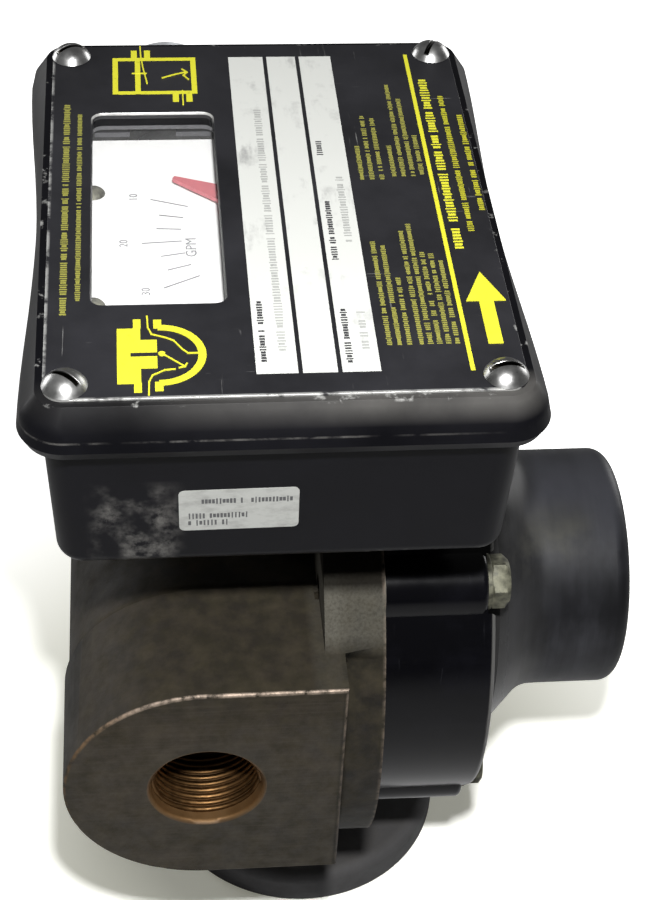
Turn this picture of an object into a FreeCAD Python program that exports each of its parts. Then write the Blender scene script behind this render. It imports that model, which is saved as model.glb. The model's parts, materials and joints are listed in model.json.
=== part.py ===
import FreeCAD, Part
import math
import os

os.makedirs("parts", exist_ok=True)
V = FreeCAD.Vector

# Driving dimensions in mm. Origin: centre of the outlet mouth, +Z up along the spindle.
AXIS_Z = 90.0          # piston axis above the outlet mouth
PORT_X = -28.5         # inlet axis, seen from the spindle
PORT_FACE_Y = -67.0    # face of the inlet pad
PORT_R = 12.7          # bore of a 3/4 pipe thread, mid flank
PORT_DEPTH = 22.0      # threaded length
PASSAGE_R = 10.0       # flow passage behind the threads
MOUTH_CHAMFER = 1.0    # lead-in of the inlet thread
PAD_R = 33.0           # round end of the inlet pad
PAD_RIGHT_X = 3.0      # straight end of the inlet pad
PAD_EDGE_R = 0.8
BODY_R = 32.0          # round end of the body behind the pad
BODY_HALF_Y = 36.0     # half depth of the body
CAST_EDGE_R = 2.0      # rounded edge of the casting

FLANGE_X = 12.3        # joint face of the round flange
FLANGE_T = 10.5
FLANGE_R = 65.0
FLANGE_EDGE_R = 2.5
LUG_T = 3.3            # extra thickness at the bolts
LUG_W = 32.0
LUG_DEPTH = 23.5       # from the flange's rim inwards
BOLT_DEG = 43.0        # cap bolts above and below the level of the piston axis
BOLT_INSET = 6.0       # bolt circle inside the cap's drum
BOLT_R = 3.2
BOLT_HEAD_AF = 11.1
BOLT_HEAD_H = 4.5
WASHER_R = 6.6
WASHER_T = 1.2
GASKET_T = 1.0

FOOT_R = 38.8          # round outlet boss that the part stands on
FOOT_H = 11.0
FOOT_EDGE_R = 3.5
NECK_R = 24.0          # lower and upper neck
TOP_FLANGE_R = 34.0
TOP_FLANGE_T = 7.0
BOX_STAND = 5.0        # seat of the box above the round flange

CAP_STEP = 9.5         # the cap's drum inside the flange's rim
CAP_BOSS_L = 24.0      # bolt bosses
CAP_RIM_L = 2.0        # drum standing past the bosses
CAP_BOSS_R = 9.0
CAP_EDGE_R = 1.5
CAP_HEAD_GAP = 2.5     # between washers and cone
CAP_CONE_L = 9.0
CAP_NECK_R = 6.0       # hollow curve between cone and tail
CAP_CYL_R = 30.3
CAP_END_X = 78.0
CAP_END_EDGE_R = 4.0
CAP_END_WALL = 4.5
CAP_CAVITY_R = 23.0

BORE_R = 20.0
CHAMBER_R = 18.5
CHAMBER_END_X = -47.0
SEAT_X = -13.0         # face of the seat ring
SEAT_T = 3.0
SEAT_R = 15.0
PISTON_L = 36.6
PISTON_FACE_T = 15.6
PISTON_CUP_R = 15.5
RING_T = 2.5
RING_DEPTH = 2.0
RING_X = -2.0

CRANK_R = 10.0
CRANK_HALF_DEG = 35.0  # swing to each side of the square position
CRANK_PIN_R = 1.9
CRANK_LIFT = 1.0       # underside of the arm above the piston bore
CRANK_T = 4.0
CRANK_EYE_R = 3.6
CRANK_HUB_R = 5.5
PIN_REACH = 8.0        # depth of the pin in the piston bore
SLOT_FLOOR_GAP = 0.5
POCKET_GAP = 1.9       # around the arm's sweep
POCKET_WALL = 2.0      # metal left between pocket and joint face

SPRING_R = 12.5        # mean coil radius
SPRING_WIRE_R = 1.1
SPRING_TURNS = 9
SPRING_SIDES = 8       # flats of the wire
SPRING_STEPS = 16      # chords per turn
SPIGOT_L = 4.0
SPIGOT_GAP = 0.5
SPRING_SEAT_T = 3.0
SPRING_SEAT_R = 15.0

SHAFT_R = 3.0
CARRIER_FLOOR = 2.0    # casting between the cap's room and the carrier
CARRIER_FLANGE_R = 20.0
CARRIER_FLANGE_T = 3.0
CARRIER_HUB_R = 11.0
CARRIER_HUB_L = 7.0
BUSH_R = 5.0
BUSH_L = 8.0
GLAND_R = 5.5
GLAND_AF = 17.0
GLAND_H = 5.0
SEAL_T = 4.0
CLIP_R = 5.5
CLIP_T = 1.0

BOX_X = -12.5          # middle of the box, seen from the spindle
BASE_W = 93.0          # base at its floor
BASE_L = 125.5
BASE_R = 6.0
BASE_DRAFT = 1.3       # growth per side from floor to rim
BASE_H = 34.0
BASE_EDGE_R = 3.5
WALL = 3.0
COVER_STEP = 0.7       # top face of the cover past the base's rim
COVER_R = 5.5
COVER_FLARE = 4.0      # growth per side from top face to lower rim
COVER_H = 10.9
COVER_LIP = 2.4        # rounded lower part of the skirt
COVER_LIP_IN = 1.2
COVER_BULGE = 3.0      # growth per side half way up the skirt
COVER_BULGE_Z = 6.5
COVER_TOP_T = 3.0
PLATE_T = 0.5
PLATE_INSET = 1.5
SCREW_INSET = 3.8      # cover screws inside the base's outline
SCREW_R = 2.4
SCREW_HEAD_R = 4.5
SCREW_HEAD_H = 3.0
SCREW_LENGTH = 24.0
SCREW_SLOT = 1.2
SLOT_DEGS = (-35.0, 20.0, 4.0, 62.0)
POST_R = 6.5

WINDOW_INSET = 5.5     # window inside the box wall
WINDOW_W = 27.6
WINDOW_HALF_Y = 34.8
WINDOW_R = 2.5
PANE_T = 1.8
PANE_LAP = 3.5
PANE_SEAL_T = 1.0
CLIP_W = 8.0
CLIP_PLATE_T = 1.2
CLIP_INSET = 4.5       # clips inside the window's ends
CLIP_OUT = 4.0         # clip screws past the pane
CLIP_REACH = 6.0       # tongue over the pane
CLIP_TAIL = 3.5

DIAL_GAP = 1.2         # pointer above the dial
DIAL_T = 1.0
DIAL_LAP_LEFT = 3.0    # dial past the window
DIAL_POST_GAP = 0.9    # right posts beside the switch
DIAL_LAP_Y = 2.0
DIAL_POST_R = 3.2
DIAL_POST_LEFT_YS = (16.0, -24.0)
DIAL_POST_RIGHT_YS = (30.0, -30.0)
DIAL_HOLE_L = 8.0
POINTER_L = 37.5
POINTER_REST_DEG = 150.0
POINTER_T = 1.0
POINTER_TAPER_L = 15.0
POINTER_TIP_W = 1.0
POINTER_ROOT_W = 6.4
POINTER_HUB_R = 5.0
POINTER_HUB_H = 4.2
POINTER_NUT_AF = 9.0
POINTER_NUT_H = 2.0

CAM_STAND = 2.7        # cam above the shaft clip
CAM_T = 5.0
CAM_R = 9.0
CAM_RISE = 1.2
CAM_HUB_R = 6.5
CAM_HUB_H = 5.0
CAM_SCREW_R = 1.2
CAM_SCREW_SINK = 0.3

SWITCH_W = 28.0
SWITCH_D = 16.0
SWITCH_H = 10.0
SWITCH_Y = 14.4
PLUNGER_R = 1.5
PLUNGER_L = 9.0
SWITCH_SCREW_X = 9.5
SWITCH_SCREW_INSET = 4.0
TAB_PITCH = 9.0
TAB_W = 4.0
TAB_L = 7.0
TAB_T = 0.8
BRACKET_T = 2.0
BRACKET_WALL_GAP = 6.0
BRACKET_FOOT = 12.0

BLOCK_POLES = 4
BLOCK_PITCH = 10.0
BLOCK_X = -20.0
BLOCK_WALL_GAP = 4.0
BLOCK_D = 14.0
BLOCK_H = 17.0
BLOCK_STEP_H = 9.5     # seat of the terminal screws
GROUND_INSET_X = 11.0
GROUND_INSET_Y = 13.5

SMALL_R = 1.4          # small screws
SMALL_HEAD_R = 2.6
SMALL_HEAD_H = 1.8
DIAL_HEAD_H = 1.5
DIAL_SCREW_L = 7.0
BASE_HEAD_R = 4.2
BASE_HEAD_H = 3.0
TERMINAL_HEAD_R = 3.2
TERMINAL_HEAD_H = 2.2
TERMINAL_SCREW_L = 4.5
GROUND_HEAD_R = 3.6
GROUND_HEAD_H = 2.4
BLIND_GAP = 1.0        # metal or air left past a screw's end
HEAD_SLOT = 0.8

HUB_SIDE_GAP = 1.0     # locknut beside the corner post
HUB_R = 14.0
HUB_L = 27.0
HUB_BORE_R = 9.4       # 1/2 pipe thread, mid flank
HUB_THREAD_R = 11.4
HUB_PAD_R = 16.0
HUB_PAD_T = 1.0
HUB_EDGE_R = 1.5
SLEEVE_PAST = 2.5      # sleeve past its locknut
LOCKNUT_AF = 26.0
LOCKNUT_T = 4.5

# Clearances.
RUN_FIT = 0.05         # spindle, piston and plunger in their bores
MOVE_GAP = 0.3         # between pieces that move past each other
CAP_ROOM = 3.0         # casting cut back around the cap's drum
HOLE_GAP = 0.2         # screw or sleeve in a clearance hole
SMALL_GAP = 0.1        # small screw in a clearance hole
PLUNGER_GAP = 0.4      # plunger off the cam at rest

# Derived positions.
FLANGE_BACK_X = FLANGE_X - FLANGE_T
TOP_FLANGE_Z = AXIS_Z + FLANGE_R + BOX_STAND
CAP_DRUM_R = FLANGE_R - CAP_STEP
BOLT_CIRCLE_R = CAP_DRUM_R - BOLT_INSET
BOLT_Y = BOLT_CIRCLE_R * math.cos(math.radians(BOLT_DEG))
BOLT_Z = BOLT_CIRCLE_R * math.sin(math.radians(BOLT_DEG))
CAP_CONE_R = BOLT_CIRCLE_R - WASHER_R - CAP_HEAD_GAP
BASE_Z = TOP_FLANGE_Z + GASKET_T
FLOOR_Z = BASE_Z + WALL
RIM_Z = BASE_Z + BASE_H
COVER_Z = RIM_Z + GASKET_T
COVER_TOP_Z = COVER_Z + COVER_H
FACE_Z = COVER_TOP_Z + PLATE_T
CEILING_Z = COVER_TOP_Z - COVER_TOP_T
CAP_X = FLANGE_X + GASKET_T
CAP_SEAT_X = CAP_X + CAP_BOSS_L
CAP_SHOULDER_X = CAP_SEAT_X + CAP_RIM_L
CAVITY_END_X = CAP_END_X - CAP_END_WALL
CAVITY_W = BASE_W - 2 * WALL
CAVITY_L = BASE_L - 2 * WALL
CAVITY_R = BASE_R - WALL / 2
CAVITY_LEFT_X = BOX_X - CAVITY_W / 2
RIM_W = BASE_W + 2 * BASE_DRAFT
RIM_L = BASE_L + 2 * BASE_DRAFT
COVER_W = RIM_W + 2 * COVER_STEP
COVER_L = RIM_L + 2 * COVER_STEP
SCREW_X = BASE_W / 2 - SCREW_INSET
SCREW_Y = BASE_L / 2 - SCREW_INSET
WINDOW_X0 = CAVITY_LEFT_X + WINDOW_INSET
WINDOW_X1 = WINDOW_X0 + WINDOW_W
PISTON_X = SEAT_X + MOVE_GAP
CRANK_REST_DEG = -90.0 - CRANK_HALF_DEG
ARM_Z = AXIS_Z + BORE_R + CRANK_LIFT
PIN_TIP_Z = AXIS_Z + BORE_R - PIN_REACH
POCKET_R = CRANK_R + CRANK_EYE_R + POCKET_GAP
PIN_X = CRANK_R * math.cos(math.radians(CRANK_REST_DEG))
PIN_Y = CRANK_R * math.sin(math.radians(CRANK_REST_DEG))
CARRIER_Z = AXIS_Z + CAP_DRUM_R + CAP_ROOM + CARRIER_FLOOR
GLAND_Z = TOP_FLANGE_Z + CARRIER_HUB_L
CLIP_Z = GLAND_Z + GLAND_H + MOVE_GAP
CAM_Z = CLIP_Z + CLIP_T + CAM_STAND
PLUNGER_Y = CAM_R + PLUNGER_GAP
SWITCH_Z = CAM_Z + CAM_T / 2 - SWITCH_H / 2
SEAL_Z = CEILING_Z - PANE_SEAL_T
PANE_Z = SEAL_Z - PANE_T
POINTER_Z = PANE_Z - MOVE_GAP - POINTER_T
NUT_Z = POINTER_Z + POINTER_T
SHAFT_TOP_Z = NUT_Z + POINTER_NUT_H
DIAL_Z = POINTER_Z - DIAL_GAP
DIAL_X0 = WINDOW_X0 - DIAL_LAP_LEFT
DIAL_X1 = -SWITCH_W / 2 - DIAL_POST_GAP
DIAL_POSTS = [(DIAL_X0 + DIAL_POST_R, y) for y in DIAL_POST_LEFT_YS]
DIAL_POSTS += [(DIAL_X1 - DIAL_POST_R, y) for y in DIAL_POST_RIGHT_YS]
BLOCK_Y = -CAVITY_L / 2 + BLOCK_WALL_GAP + BLOCK_D / 2
BRACKET_Y = CAVITY_L / 2 - BRACKET_WALL_GAP - BRACKET_FOOT
HUB_X = BOX_X - SCREW_X + POST_R + LOCKNUT_AF / math.sqrt(3) + HUB_SIDE_GAP
HUB_Z = BASE_Z + BASE_H / 2
HUB_SEAT_Y = RIM_L / 2 + HUB_PAD_T


def box(x0, x1, y0, y1, z0, z1):
    return Part.makeBox(x1 - x0, y1 - y0, z1 - z0, V(x0, y0, z0))


def rod_x(r, x0, x1, y, z):
    return Part.makeCylinder(r, x1 - x0, V(x0, y, z), V(1, 0, 0))


def rod_y(r, y0, y1, x, z):
    return Part.makeCylinder(r, y1 - y0, V(x, y0, z), V(0, 1, 0))


def rod_z(r, z0, z1, x=0.0, y=0.0):
    return Part.makeCylinder(r, z1 - z0, V(x, y, z0), V(0, 0, 1))


def ring_z(r_out, r_in, z0, z1, x=0.0, y=0.0):
    return rod_z(r_out, z0, z1, x, y).cut(rod_z(r_in, z0, z1, x, y))


def ring_x(r_out, r_in, x0, x1, y, z):
    return rod_x(r_out, x0, x1, y, z).cut(rod_x(r_in, x0, x1, y, z))


def rounded_wire(half_u, half_v, r, place):
    """Closed outline of a rounded rectangle; place maps its u, v to a point."""
    k = r * (1 - math.sqrt(0.5))
    edges = []
    for su, sv in ((1, 1), (-1, 1), (-1, -1), (1, -1)):
        side = place(su * half_u, sv * (half_v - r))
        mid = place(su * (half_u - k), sv * (half_v - k))
        top = place(su * (half_u - r), sv * half_v)
        first, last = (side, top) if su * sv > 0 else (top, side)
        edges.append((first, mid, last))
    shapes = []
    for i, (first, mid, last) in enumerate(edges):
        shapes.append(Part.Arc(first, mid, last).toShape())
        shapes.append(Part.makeLine(last, edges[(i + 1) % 4][0]))
    return Part.Wire(shapes)


def rect_z(w, l, r, z, x=BOX_X):
    return rounded_wire(w / 2, l / 2, r, lambda u, v: V(x + u, v, z))


def prism_z(w, l, r, z0, z1, x=BOX_X):
    return Part.Face(rect_z(w, l, r, z0, x)).extrude(V(0, 0, z1 - z0))


def loft_z(*sections):
    return Part.makeLoft([rect_z(*s) for s in sections], True, True)


def hex_prism(af, h):
    """Hexagon standing on the origin along +Z, flats facing Y."""
    r = af / math.sqrt(3)
    pts = [V(r * math.cos(math.radians(60 * i)), r * math.sin(math.radians(60 * i)), 0) for i in range(7)]
    return Part.Face(Part.makePolygon(pts)).extrude(V(0, 0, h))


def turned(shape, axis, degrees, move):
    out = shape.copy()
    out.rotate(V(0, 0, 0), V(*axis), degrees)
    out.translate(V(*move))
    return out


def round_edges(shape, radius, pick):
    return shape.makeFillet(radius, [e for e in shape.Edges if pick(e.BoundBox)])


def fuse(first, *others):
    return first.fuse(list(others)).removeSplitter()


def group(shapes):
    return Part.makeCompound(list(shapes))


def save(name, shape):
    shape.exportStep("parts/" + name + ".step")


def pan_screw(head_r, head_h, shank_r, length, slot_deg=0.0):
    """Round-head slotted screw; the head's seat is at z = 0 and the shank points down."""
    ball_r = (head_r ** 2 + head_h ** 2) / (2 * head_h)
    ball = Part.makeSphere(ball_r, V(0, 0, head_h - ball_r))
    head = ball.common(rod_z(head_r + 1, 0, head_h + 1))
    slot = box(-head_r - 1, head_r + 1, -SCREW_SLOT / 2, SCREW_SLOT / 2, head_h * 0.5, head_h + 1)
    slot.rotate(V(0, 0, 0), V(0, 0, 1), slot_deg)
    return fuse(head.cut(slot), rod_z(shank_r, -length, 0))


def flat_screw(head_r, head_h, shank_r, length):
    head = rod_z(head_r, 0, head_h)
    slot = box(-head_r - 1, head_r + 1, -HEAD_SLOT / 2, HEAD_SLOT / 2, head_h * 0.5, head_h + 1)
    return fuse(head.cut(slot), rod_z(shank_r, -length, 0))


def four(ax, ay):
    return [(sx * ax, sy * ay) for sx in (-1, 1) for sy in (-1, 1)]


def u_block(r, right_x, y0, y1):
    """Block with a round left end about the inlet axis, drawn along Y."""
    straight = box(PORT_X, right_x, y0, y1, AXIS_Z - r, AXIS_Z + r)
    left_half = box(PORT_X - r, PORT_X, y0, y1, AXIS_Z - r, AXIS_Z + r)
    return fuse(rod_y(r, y0, y1, PORT_X, AXIS_Z).common(left_half), straight)


# Bronze casting.
pad = u_block(PAD_R, PAD_RIGHT_X, PORT_FACE_Y, -BODY_HALF_Y + 1)
pad = round_edges(pad, PAD_EDGE_R, lambda b: b.YMax < PORT_FACE_Y + 0.01)
trunk = u_block(BODY_R, FLANGE_BACK_X + 1, -BODY_HALF_Y, BODY_HALF_Y)
trunk = round_edges(trunk, 2 * CAST_EDGE_R, lambda b: b.YMax < -BODY_HALF_Y + 0.01)
trunk = round_edges(trunk, 2 * CAST_EDGE_R, lambda b: b.YMin > BODY_HALF_Y - 0.01)
flange = rod_x(FLANGE_R, FLANGE_BACK_X, FLANGE_X, 0, AXIS_Z)
flange = round_edges(flange, FLANGE_EDGE_R, lambda b: b.XMax < FLANGE_BACK_X + 0.01)
lug_disc = rod_x(FLANGE_R, FLANGE_BACK_X - LUG_T, FLANGE_X - 1, 0, AXIS_Z)
lugs = []
for sy in (-1, 1):
    for sz in (-1, 1):
        block = box(FLANGE_BACK_X - LUG_T, FLANGE_X - 1, FLANGE_R - LUG_DEPTH, FLANGE_R, -LUG_W / 2, LUG_W / 2)
        lean = sz * BOLT_DEG if sy > 0 else 180 - sz * BOLT_DEG
        lugs.append(lug_disc.common(turned(block, (1, 0, 0), lean, (0, 0, AXIS_Z))))
foot = round_edges(rod_z(FOOT_R, 0, FOOT_H), FOOT_EDGE_R, lambda b: b.ZMin > FOOT_H - 0.01)
foot = round_edges(foot, FOOT_EDGE_R / 3, lambda b: b.ZMax < 0.01)
necks = rod_z(NECK_R, FOOT_H / 2, TOP_FLANGE_Z - 1)
room_r = CAP_DRUM_R + CAP_ROOM
cap_room = box(FLANGE_X, FLANGE_X + NECK_R, -NECK_R, NECK_R, AXIS_Z - room_r, AXIS_Z + room_r)
necks = necks.cut(cap_room)
top_flange = rod_z(TOP_FLANGE_R, TOP_FLANGE_Z - TOP_FLANGE_T, TOP_FLANGE_Z)
top_flange = round_edges(top_flange, CAST_EDGE_R, lambda b: b.ZMax < TOP_FLANGE_Z - TOP_FLANGE_T + 0.01)
body = fuse(trunk, pad, flange, *lugs, foot, necks, top_flange)

pocket_low = rod_z(POCKET_R, AXIS_Z, CARRIER_Z)
pocket_low = pocket_low.common(box(-NECK_R, FLANGE_X - POCKET_WALL, -NECK_R, NECK_R, AXIS_Z, CARRIER_Z))
mouth = Part.makeCone(PORT_R + MOUTH_CHAMFER, PORT_R, MOUTH_CHAMFER, V(PORT_X, PORT_FACE_Y, AXIS_Z), V(0, 1, 0))
hollows = [
    rod_x(BORE_R, SEAT_X - SEAT_T, FLANGE_X, 0, AXIS_Z),
    rod_x(CHAMBER_R, CHAMBER_END_X, SEAT_X, 0, AXIS_Z),
    rod_y(PORT_R, PORT_FACE_Y, PORT_FACE_Y + PORT_DEPTH, PORT_X, AXIS_Z),
    rod_y(PASSAGE_R, PORT_FACE_Y, 0, PORT_X, AXIS_Z),
    mouth,
    rod_z(PORT_R, 0, PORT_DEPTH),
    rod_z(PASSAGE_R, 0, AXIS_Z),
    pocket_low,
    rod_z(POCKET_R, CARRIER_Z, TOP_FLANGE_Z),
    rod_z(CARRIER_FLANGE_R, TOP_FLANGE_Z - CARRIER_FLANGE_T, TOP_FLANGE_Z),
]
BASE_SCREW_AT = (CARRIER_FLANGE_R + TOP_FLANGE_R) / 2 * math.sqrt(0.5)
for x, y in four(BASE_SCREW_AT, BASE_SCREW_AT):
    hollows.append(rod_z(SCREW_R, TOP_FLANGE_Z - TOP_FLANGE_T - 1, TOP_FLANGE_Z, x, y))
for y, z in four(BOLT_Y, BOLT_Z):
    hollows.append(rod_x(BOLT_R, FLANGE_BACK_X - LUG_T - 1, FLANGE_X, y, AXIS_Z + z))
body = body.cut(hollows)
save("meter_body", body)

save("seat_ring", ring_x(BORE_R, SEAT_R, SEAT_X - SEAT_T, SEAT_X, 0, AXIS_Z))

# Cap side: gasket, moulded cap, bolts, spring seat.
BOLTS = [(y, AXIS_Z + z) for y, z in four(BOLT_Y, BOLT_Z)]


def drum(x0, x1):
    """Round outline of the cap with its four bolt bosses."""
    bosses = [rod_x(CAP_BOSS_R, x0, x1, y, z) for y, z in BOLTS]
    return fuse(rod_x(CAP_DRUM_R, x0, x1, 0, AXIS_Z), *bosses)


bolt_holes = [rod_x(BOLT_R + HOLE_GAP, FLANGE_X, CAP_SHOULDER_X, y, z) for y, z in BOLTS]
gasket = drum(FLANGE_X, CAP_X)
save("cap_gasket", gasket.cut([rod_x(BORE_R + 1, FLANGE_X, CAP_X, 0, AXIS_Z)] + bolt_holes))

rim = rod_x(CAP_DRUM_R, CAP_X, CAP_SHOULDER_X, 0, AXIS_Z)
rim = round_edges(rim, CAP_EDGE_R, lambda b: b.XMin > CAP_SHOULDER_X - 0.01)
rim = rim.cut([rod_x(CAP_BOSS_R, CAP_SEAT_X, CAP_SHOULDER_X, y, z) for y, z in BOLTS])
cone = Part.makeCone(CAP_CONE_R, CAP_CYL_R, CAP_CONE_L, V(CAP_SHOULDER_X, 0, AXIS_Z), V(1, 0, 0))
cone_end_x = CAP_SHOULDER_X + CAP_CONE_L
tail = fuse(cone, rod_x(CAP_CYL_R, CAP_SHOULDER_X, CAP_END_X, 0, AXIS_Z))
tail = round_edges(tail, CAP_END_EDGE_R, lambda b: b.XMin > CAP_END_X - 0.01)
tail = round_edges(tail, CAP_NECK_R, lambda b: abs(b.XMin - cone_end_x) + abs(b.XMax - cone_end_x) < 0.01)
bosses = [rod_x(CAP_BOSS_R, CAP_X, CAP_SEAT_X, y, z) for y, z in BOLTS]
bosses = [round_edges(boss, CAP_EDGE_R, lambda b: b.XMin > CAP_SEAT_X - 0.01) for boss in bosses]
cap = fuse(rim, tail, *bosses)
save("spring_cap", cap.cut([rod_x(CAP_CAVITY_R, CAP_X, CAVITY_END_X, 0, AXIS_Z)] + bolt_holes))

washers = []
bolts = []
head_x = CAP_SEAT_X + WASHER_T
for y, z in BOLTS:
    washers.append(ring_x(WASHER_R, BOLT_R + HOLE_GAP, CAP_SEAT_X, head_x, y, z))
    head = turned(hex_prism(BOLT_HEAD_AF, BOLT_HEAD_H), (0, 1, 0), 90, (head_x, y, z))
    bolts.append(fuse(head, rod_x(BOLT_R, FLANGE_BACK_X - LUG_T + 1, head_x, y, z)))
save("cap_washers", group(washers))
save("cap_bolts", group(bolts))

SPRING_END_X = CAVITY_END_X - SPRING_SEAT_T
spigot = rod_x(SPRING_R - SPRING_WIRE_R - SPIGOT_GAP, SPRING_END_X - SPIGOT_L, CAVITY_END_X, 0, AXIS_Z)
save("spring_seat", fuse(rod_x(SPRING_SEAT_R, SPRING_END_X, CAVITY_END_X, 0, AXIS_Z), spigot))

SPRING_X = PISTON_X + PISTON_FACE_T
SPRING_L = SPRING_END_X - SPRING_X - 2 * SPRING_WIRE_R


def wire_section(turn):
    """Outline of the spring wire after the given number of turns."""
    x = SPRING_X + SPRING_WIRE_R + SPRING_L * turn / SPRING_TURNS
    lean = 2 * math.pi * turn
    points = []
    for i in range(SPRING_SIDES + 1):
        around = 2 * math.pi * i / SPRING_SIDES
        r = SPRING_R + SPRING_WIRE_R * math.cos(around)
        points.append(V(x + SPRING_WIRE_R * math.sin(around), r * math.cos(lean), AXIS_Z + r * math.sin(lean)))
    return Part.makePolygon(points)


sections = [wire_section(i / SPRING_STEPS) for i in range(SPRING_TURNS * SPRING_STEPS + 1)]
save("range_spring", Part.makeLoft(sections, True, True))

# Piston.
piston = rod_x(BORE_R - RUN_FIT, PISTON_X, PISTON_X + PISTON_L, 0, AXIS_Z)
slot_half = CRANK_PIN_R + MOVE_GAP
slot = box(PIN_X - slot_half, PIN_X + slot_half, -CRANK_R - slot_half - 1, PIN_Y + slot_half + 1,
           PIN_TIP_Z - SLOT_FLOOR_GAP, AXIS_Z + BORE_R)
groove = ring_x(BORE_R, BORE_R - RING_DEPTH, RING_X, RING_X + RING_T, 0, AXIS_Z)
cup = rod_x(PISTON_CUP_R, PISTON_X + PISTON_FACE_T, PISTON_X + PISTON_L, 0, AXIS_Z)
save("piston", piston.cut([slot, groove, cup]))
save("piston_ring", ring_x(BORE_R - RUN_FIT / 2, BORE_R - RING_DEPTH, RING_X, RING_X + RING_T, 0, AXIS_Z))

# Spindle and its bearings.
carrier = rod_z(POCKET_R, CARRIER_Z, TOP_FLANGE_Z)
carrier = fuse(carrier, rod_z(CARRIER_FLANGE_R, TOP_FLANGE_Z - CARRIER_FLANGE_T, TOP_FLANGE_Z),
               rod_z(CARRIER_HUB_R, TOP_FLANGE_Z - 1, GLAND_Z))
carrier = carrier.cut([
    rod_z(BUSH_R, CARRIER_Z, CARRIER_Z + BUSH_L),
    rod_z(SHAFT_R + MOVE_GAP, CARRIER_Z, GLAND_Z),
    rod_z(GLAND_R, TOP_FLANGE_Z, GLAND_Z),
])
save("bearing_carrier", carrier)
save("lower_bushing", ring_z(BUSH_R, SHAFT_R + RUN_FIT, CARRIER_Z, CARRIER_Z + BUSH_L))
save("shaft_seal", ring_z(GLAND_R, SHAFT_R + RUN_FIT, TOP_FLANGE_Z, TOP_FLANGE_Z + SEAL_T))
gland = fuse(turned(hex_prism(GLAND_AF, GLAND_H), (0, 0, 1), 0, (0, 0, GLAND_Z)),
             rod_z(GLAND_R, TOP_FLANGE_Z + SEAL_T, GLAND_Z))
save("gland_nut", gland.cut(rod_z(SHAFT_R + MOVE_GAP, TOP_FLANGE_Z, GLAND_Z + GLAND_H)))

ARM_TOP_Z = ARM_Z + CRANK_T
save("pointer_shaft", rod_z(SHAFT_R, ARM_Z, SHAFT_TOP_Z))
arm = fuse(rod_z(CRANK_HUB_R, ARM_Z, ARM_TOP_Z), rod_z(CRANK_EYE_R, ARM_Z, ARM_TOP_Z, CRANK_R),
           box(0, CRANK_R, -CRANK_EYE_R, CRANK_EYE_R, ARM_Z, ARM_TOP_Z))
arm = arm.cut([rod_z(SHAFT_R, ARM_Z, ARM_TOP_Z), rod_z(CRANK_PIN_R, ARM_Z, ARM_TOP_Z, CRANK_R)])
arm.rotate(V(0, 0, 0), V(0, 0, 1), CRANK_REST_DEG)
save("crank_arm", arm)
save("crank_pin", rod_z(CRANK_PIN_R, PIN_TIP_Z, ARM_TOP_Z, PIN_X, PIN_Y))
save("shaft_clip", ring_z(CLIP_R, SHAFT_R, CLIP_Z, CLIP_Z + CLIP_T))

TRAVEL_DEG = 2 * CRANK_HALF_DEG
CAM_STEP_DEG = 5
CAM_RUN_ON_DEG = 20.0  # cam stays high past the end of the travel


def cam_radius(deg):
    """The cam climbs backwards from +Y, where the plunger rides at rest."""
    back = (90.0 - deg) % 360.0
    climbed = min(back / TRAVEL_DEG, 1.0) if back <= TRAVEL_DEG + CAM_RUN_ON_DEG else 0.0
    return CAM_R + CAM_RISE * climbed


cam_pts = []
for deg in range(0, 360 + CAM_STEP_DEG, CAM_STEP_DEG):
    r = cam_radius(deg)
    cam_pts.append(V(r * math.cos(math.radians(deg)), r * math.sin(math.radians(deg)), CAM_Z))
CAM_TOP_Z = CAM_Z + CAM_T + CAM_HUB_H
cam = Part.Face(Part.makePolygon(cam_pts)).extrude(V(0, 0, CAM_T))
cam = fuse(cam, rod_z(CAM_HUB_R, CAM_Z, CAM_TOP_Z))
screw_z = CAM_TOP_Z - CAM_HUB_H / 2
cam = cam.cut([rod_z(SHAFT_R, CAM_Z, CAM_TOP_Z), rod_x(CAM_SCREW_R, 0, CAM_HUB_R + 1, 0, screw_z)])
save("cam", cam)
save("cam_screw", rod_x(CAM_SCREW_R, SHAFT_R, CAM_HUB_R - CAM_SCREW_SINK, 0, screw_z))

save("pointer_hub", ring_z(POINTER_HUB_R, SHAFT_R, POINTER_Z - POINTER_HUB_H, POINTER_Z))
half_root = POINTER_ROOT_W / 2
half_tip = POINTER_TIP_W / 2
taper_x = POINTER_L - POINTER_TAPER_L
blade = [V(0, -half_root, 0), V(taper_x, -half_root, 0), V(POINTER_L, -half_tip, 0), V(POINTER_L, half_tip, 0),
         V(taper_x, half_root, 0), V(0, half_root, 0), V(0, -half_root, 0)]
pointer = Part.Face(Part.makePolygon(blade)).extrude(V(0, 0, POINTER_T))
pointer = fuse(pointer, rod_z(POINTER_HUB_R, 0, POINTER_T)).cut(rod_z(SHAFT_R, 0, POINTER_T))
save("pointer", turned(pointer, (0, 0, 1), POINTER_REST_DEG, (0, 0, POINTER_Z)))
nut = hex_prism(POINTER_NUT_AF, POINTER_NUT_H).cut(rod_z(SHAFT_R, 0, POINTER_NUT_H))
save("pointer_nut", turned(nut, (0, 0, 1), 0, (0, 0, NUT_Z)))

# Box base.
COVER_SCREWS = [(BOX_X + x, y) for x, y in four(SCREW_X, SCREW_Y)]
BASE_SCREWS = four(BASE_SCREW_AT, BASE_SCREW_AT)
GROUND_AT = (CAVITY_LEFT_X + CAVITY_W - GROUND_INSET_X, -CAVITY_L / 2 + GROUND_INSET_Y)
BRACKET_SCREWS = [(s * SWITCH_SCREW_X, BRACKET_Y + BRACKET_FOOT / 2) for s in (-1, 1)]


def posts(z0, z1):
    return [rod_z(POST_R, z0, z1, x, y) for x, y in COVER_SCREWS]


def inside(z0, z1):
    """Space inside the box walls, less the corner posts."""
    return prism_z(CAVITY_W, CAVITY_L, CAVITY_R, z0, z1).cut(posts(z0, z1))


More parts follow.
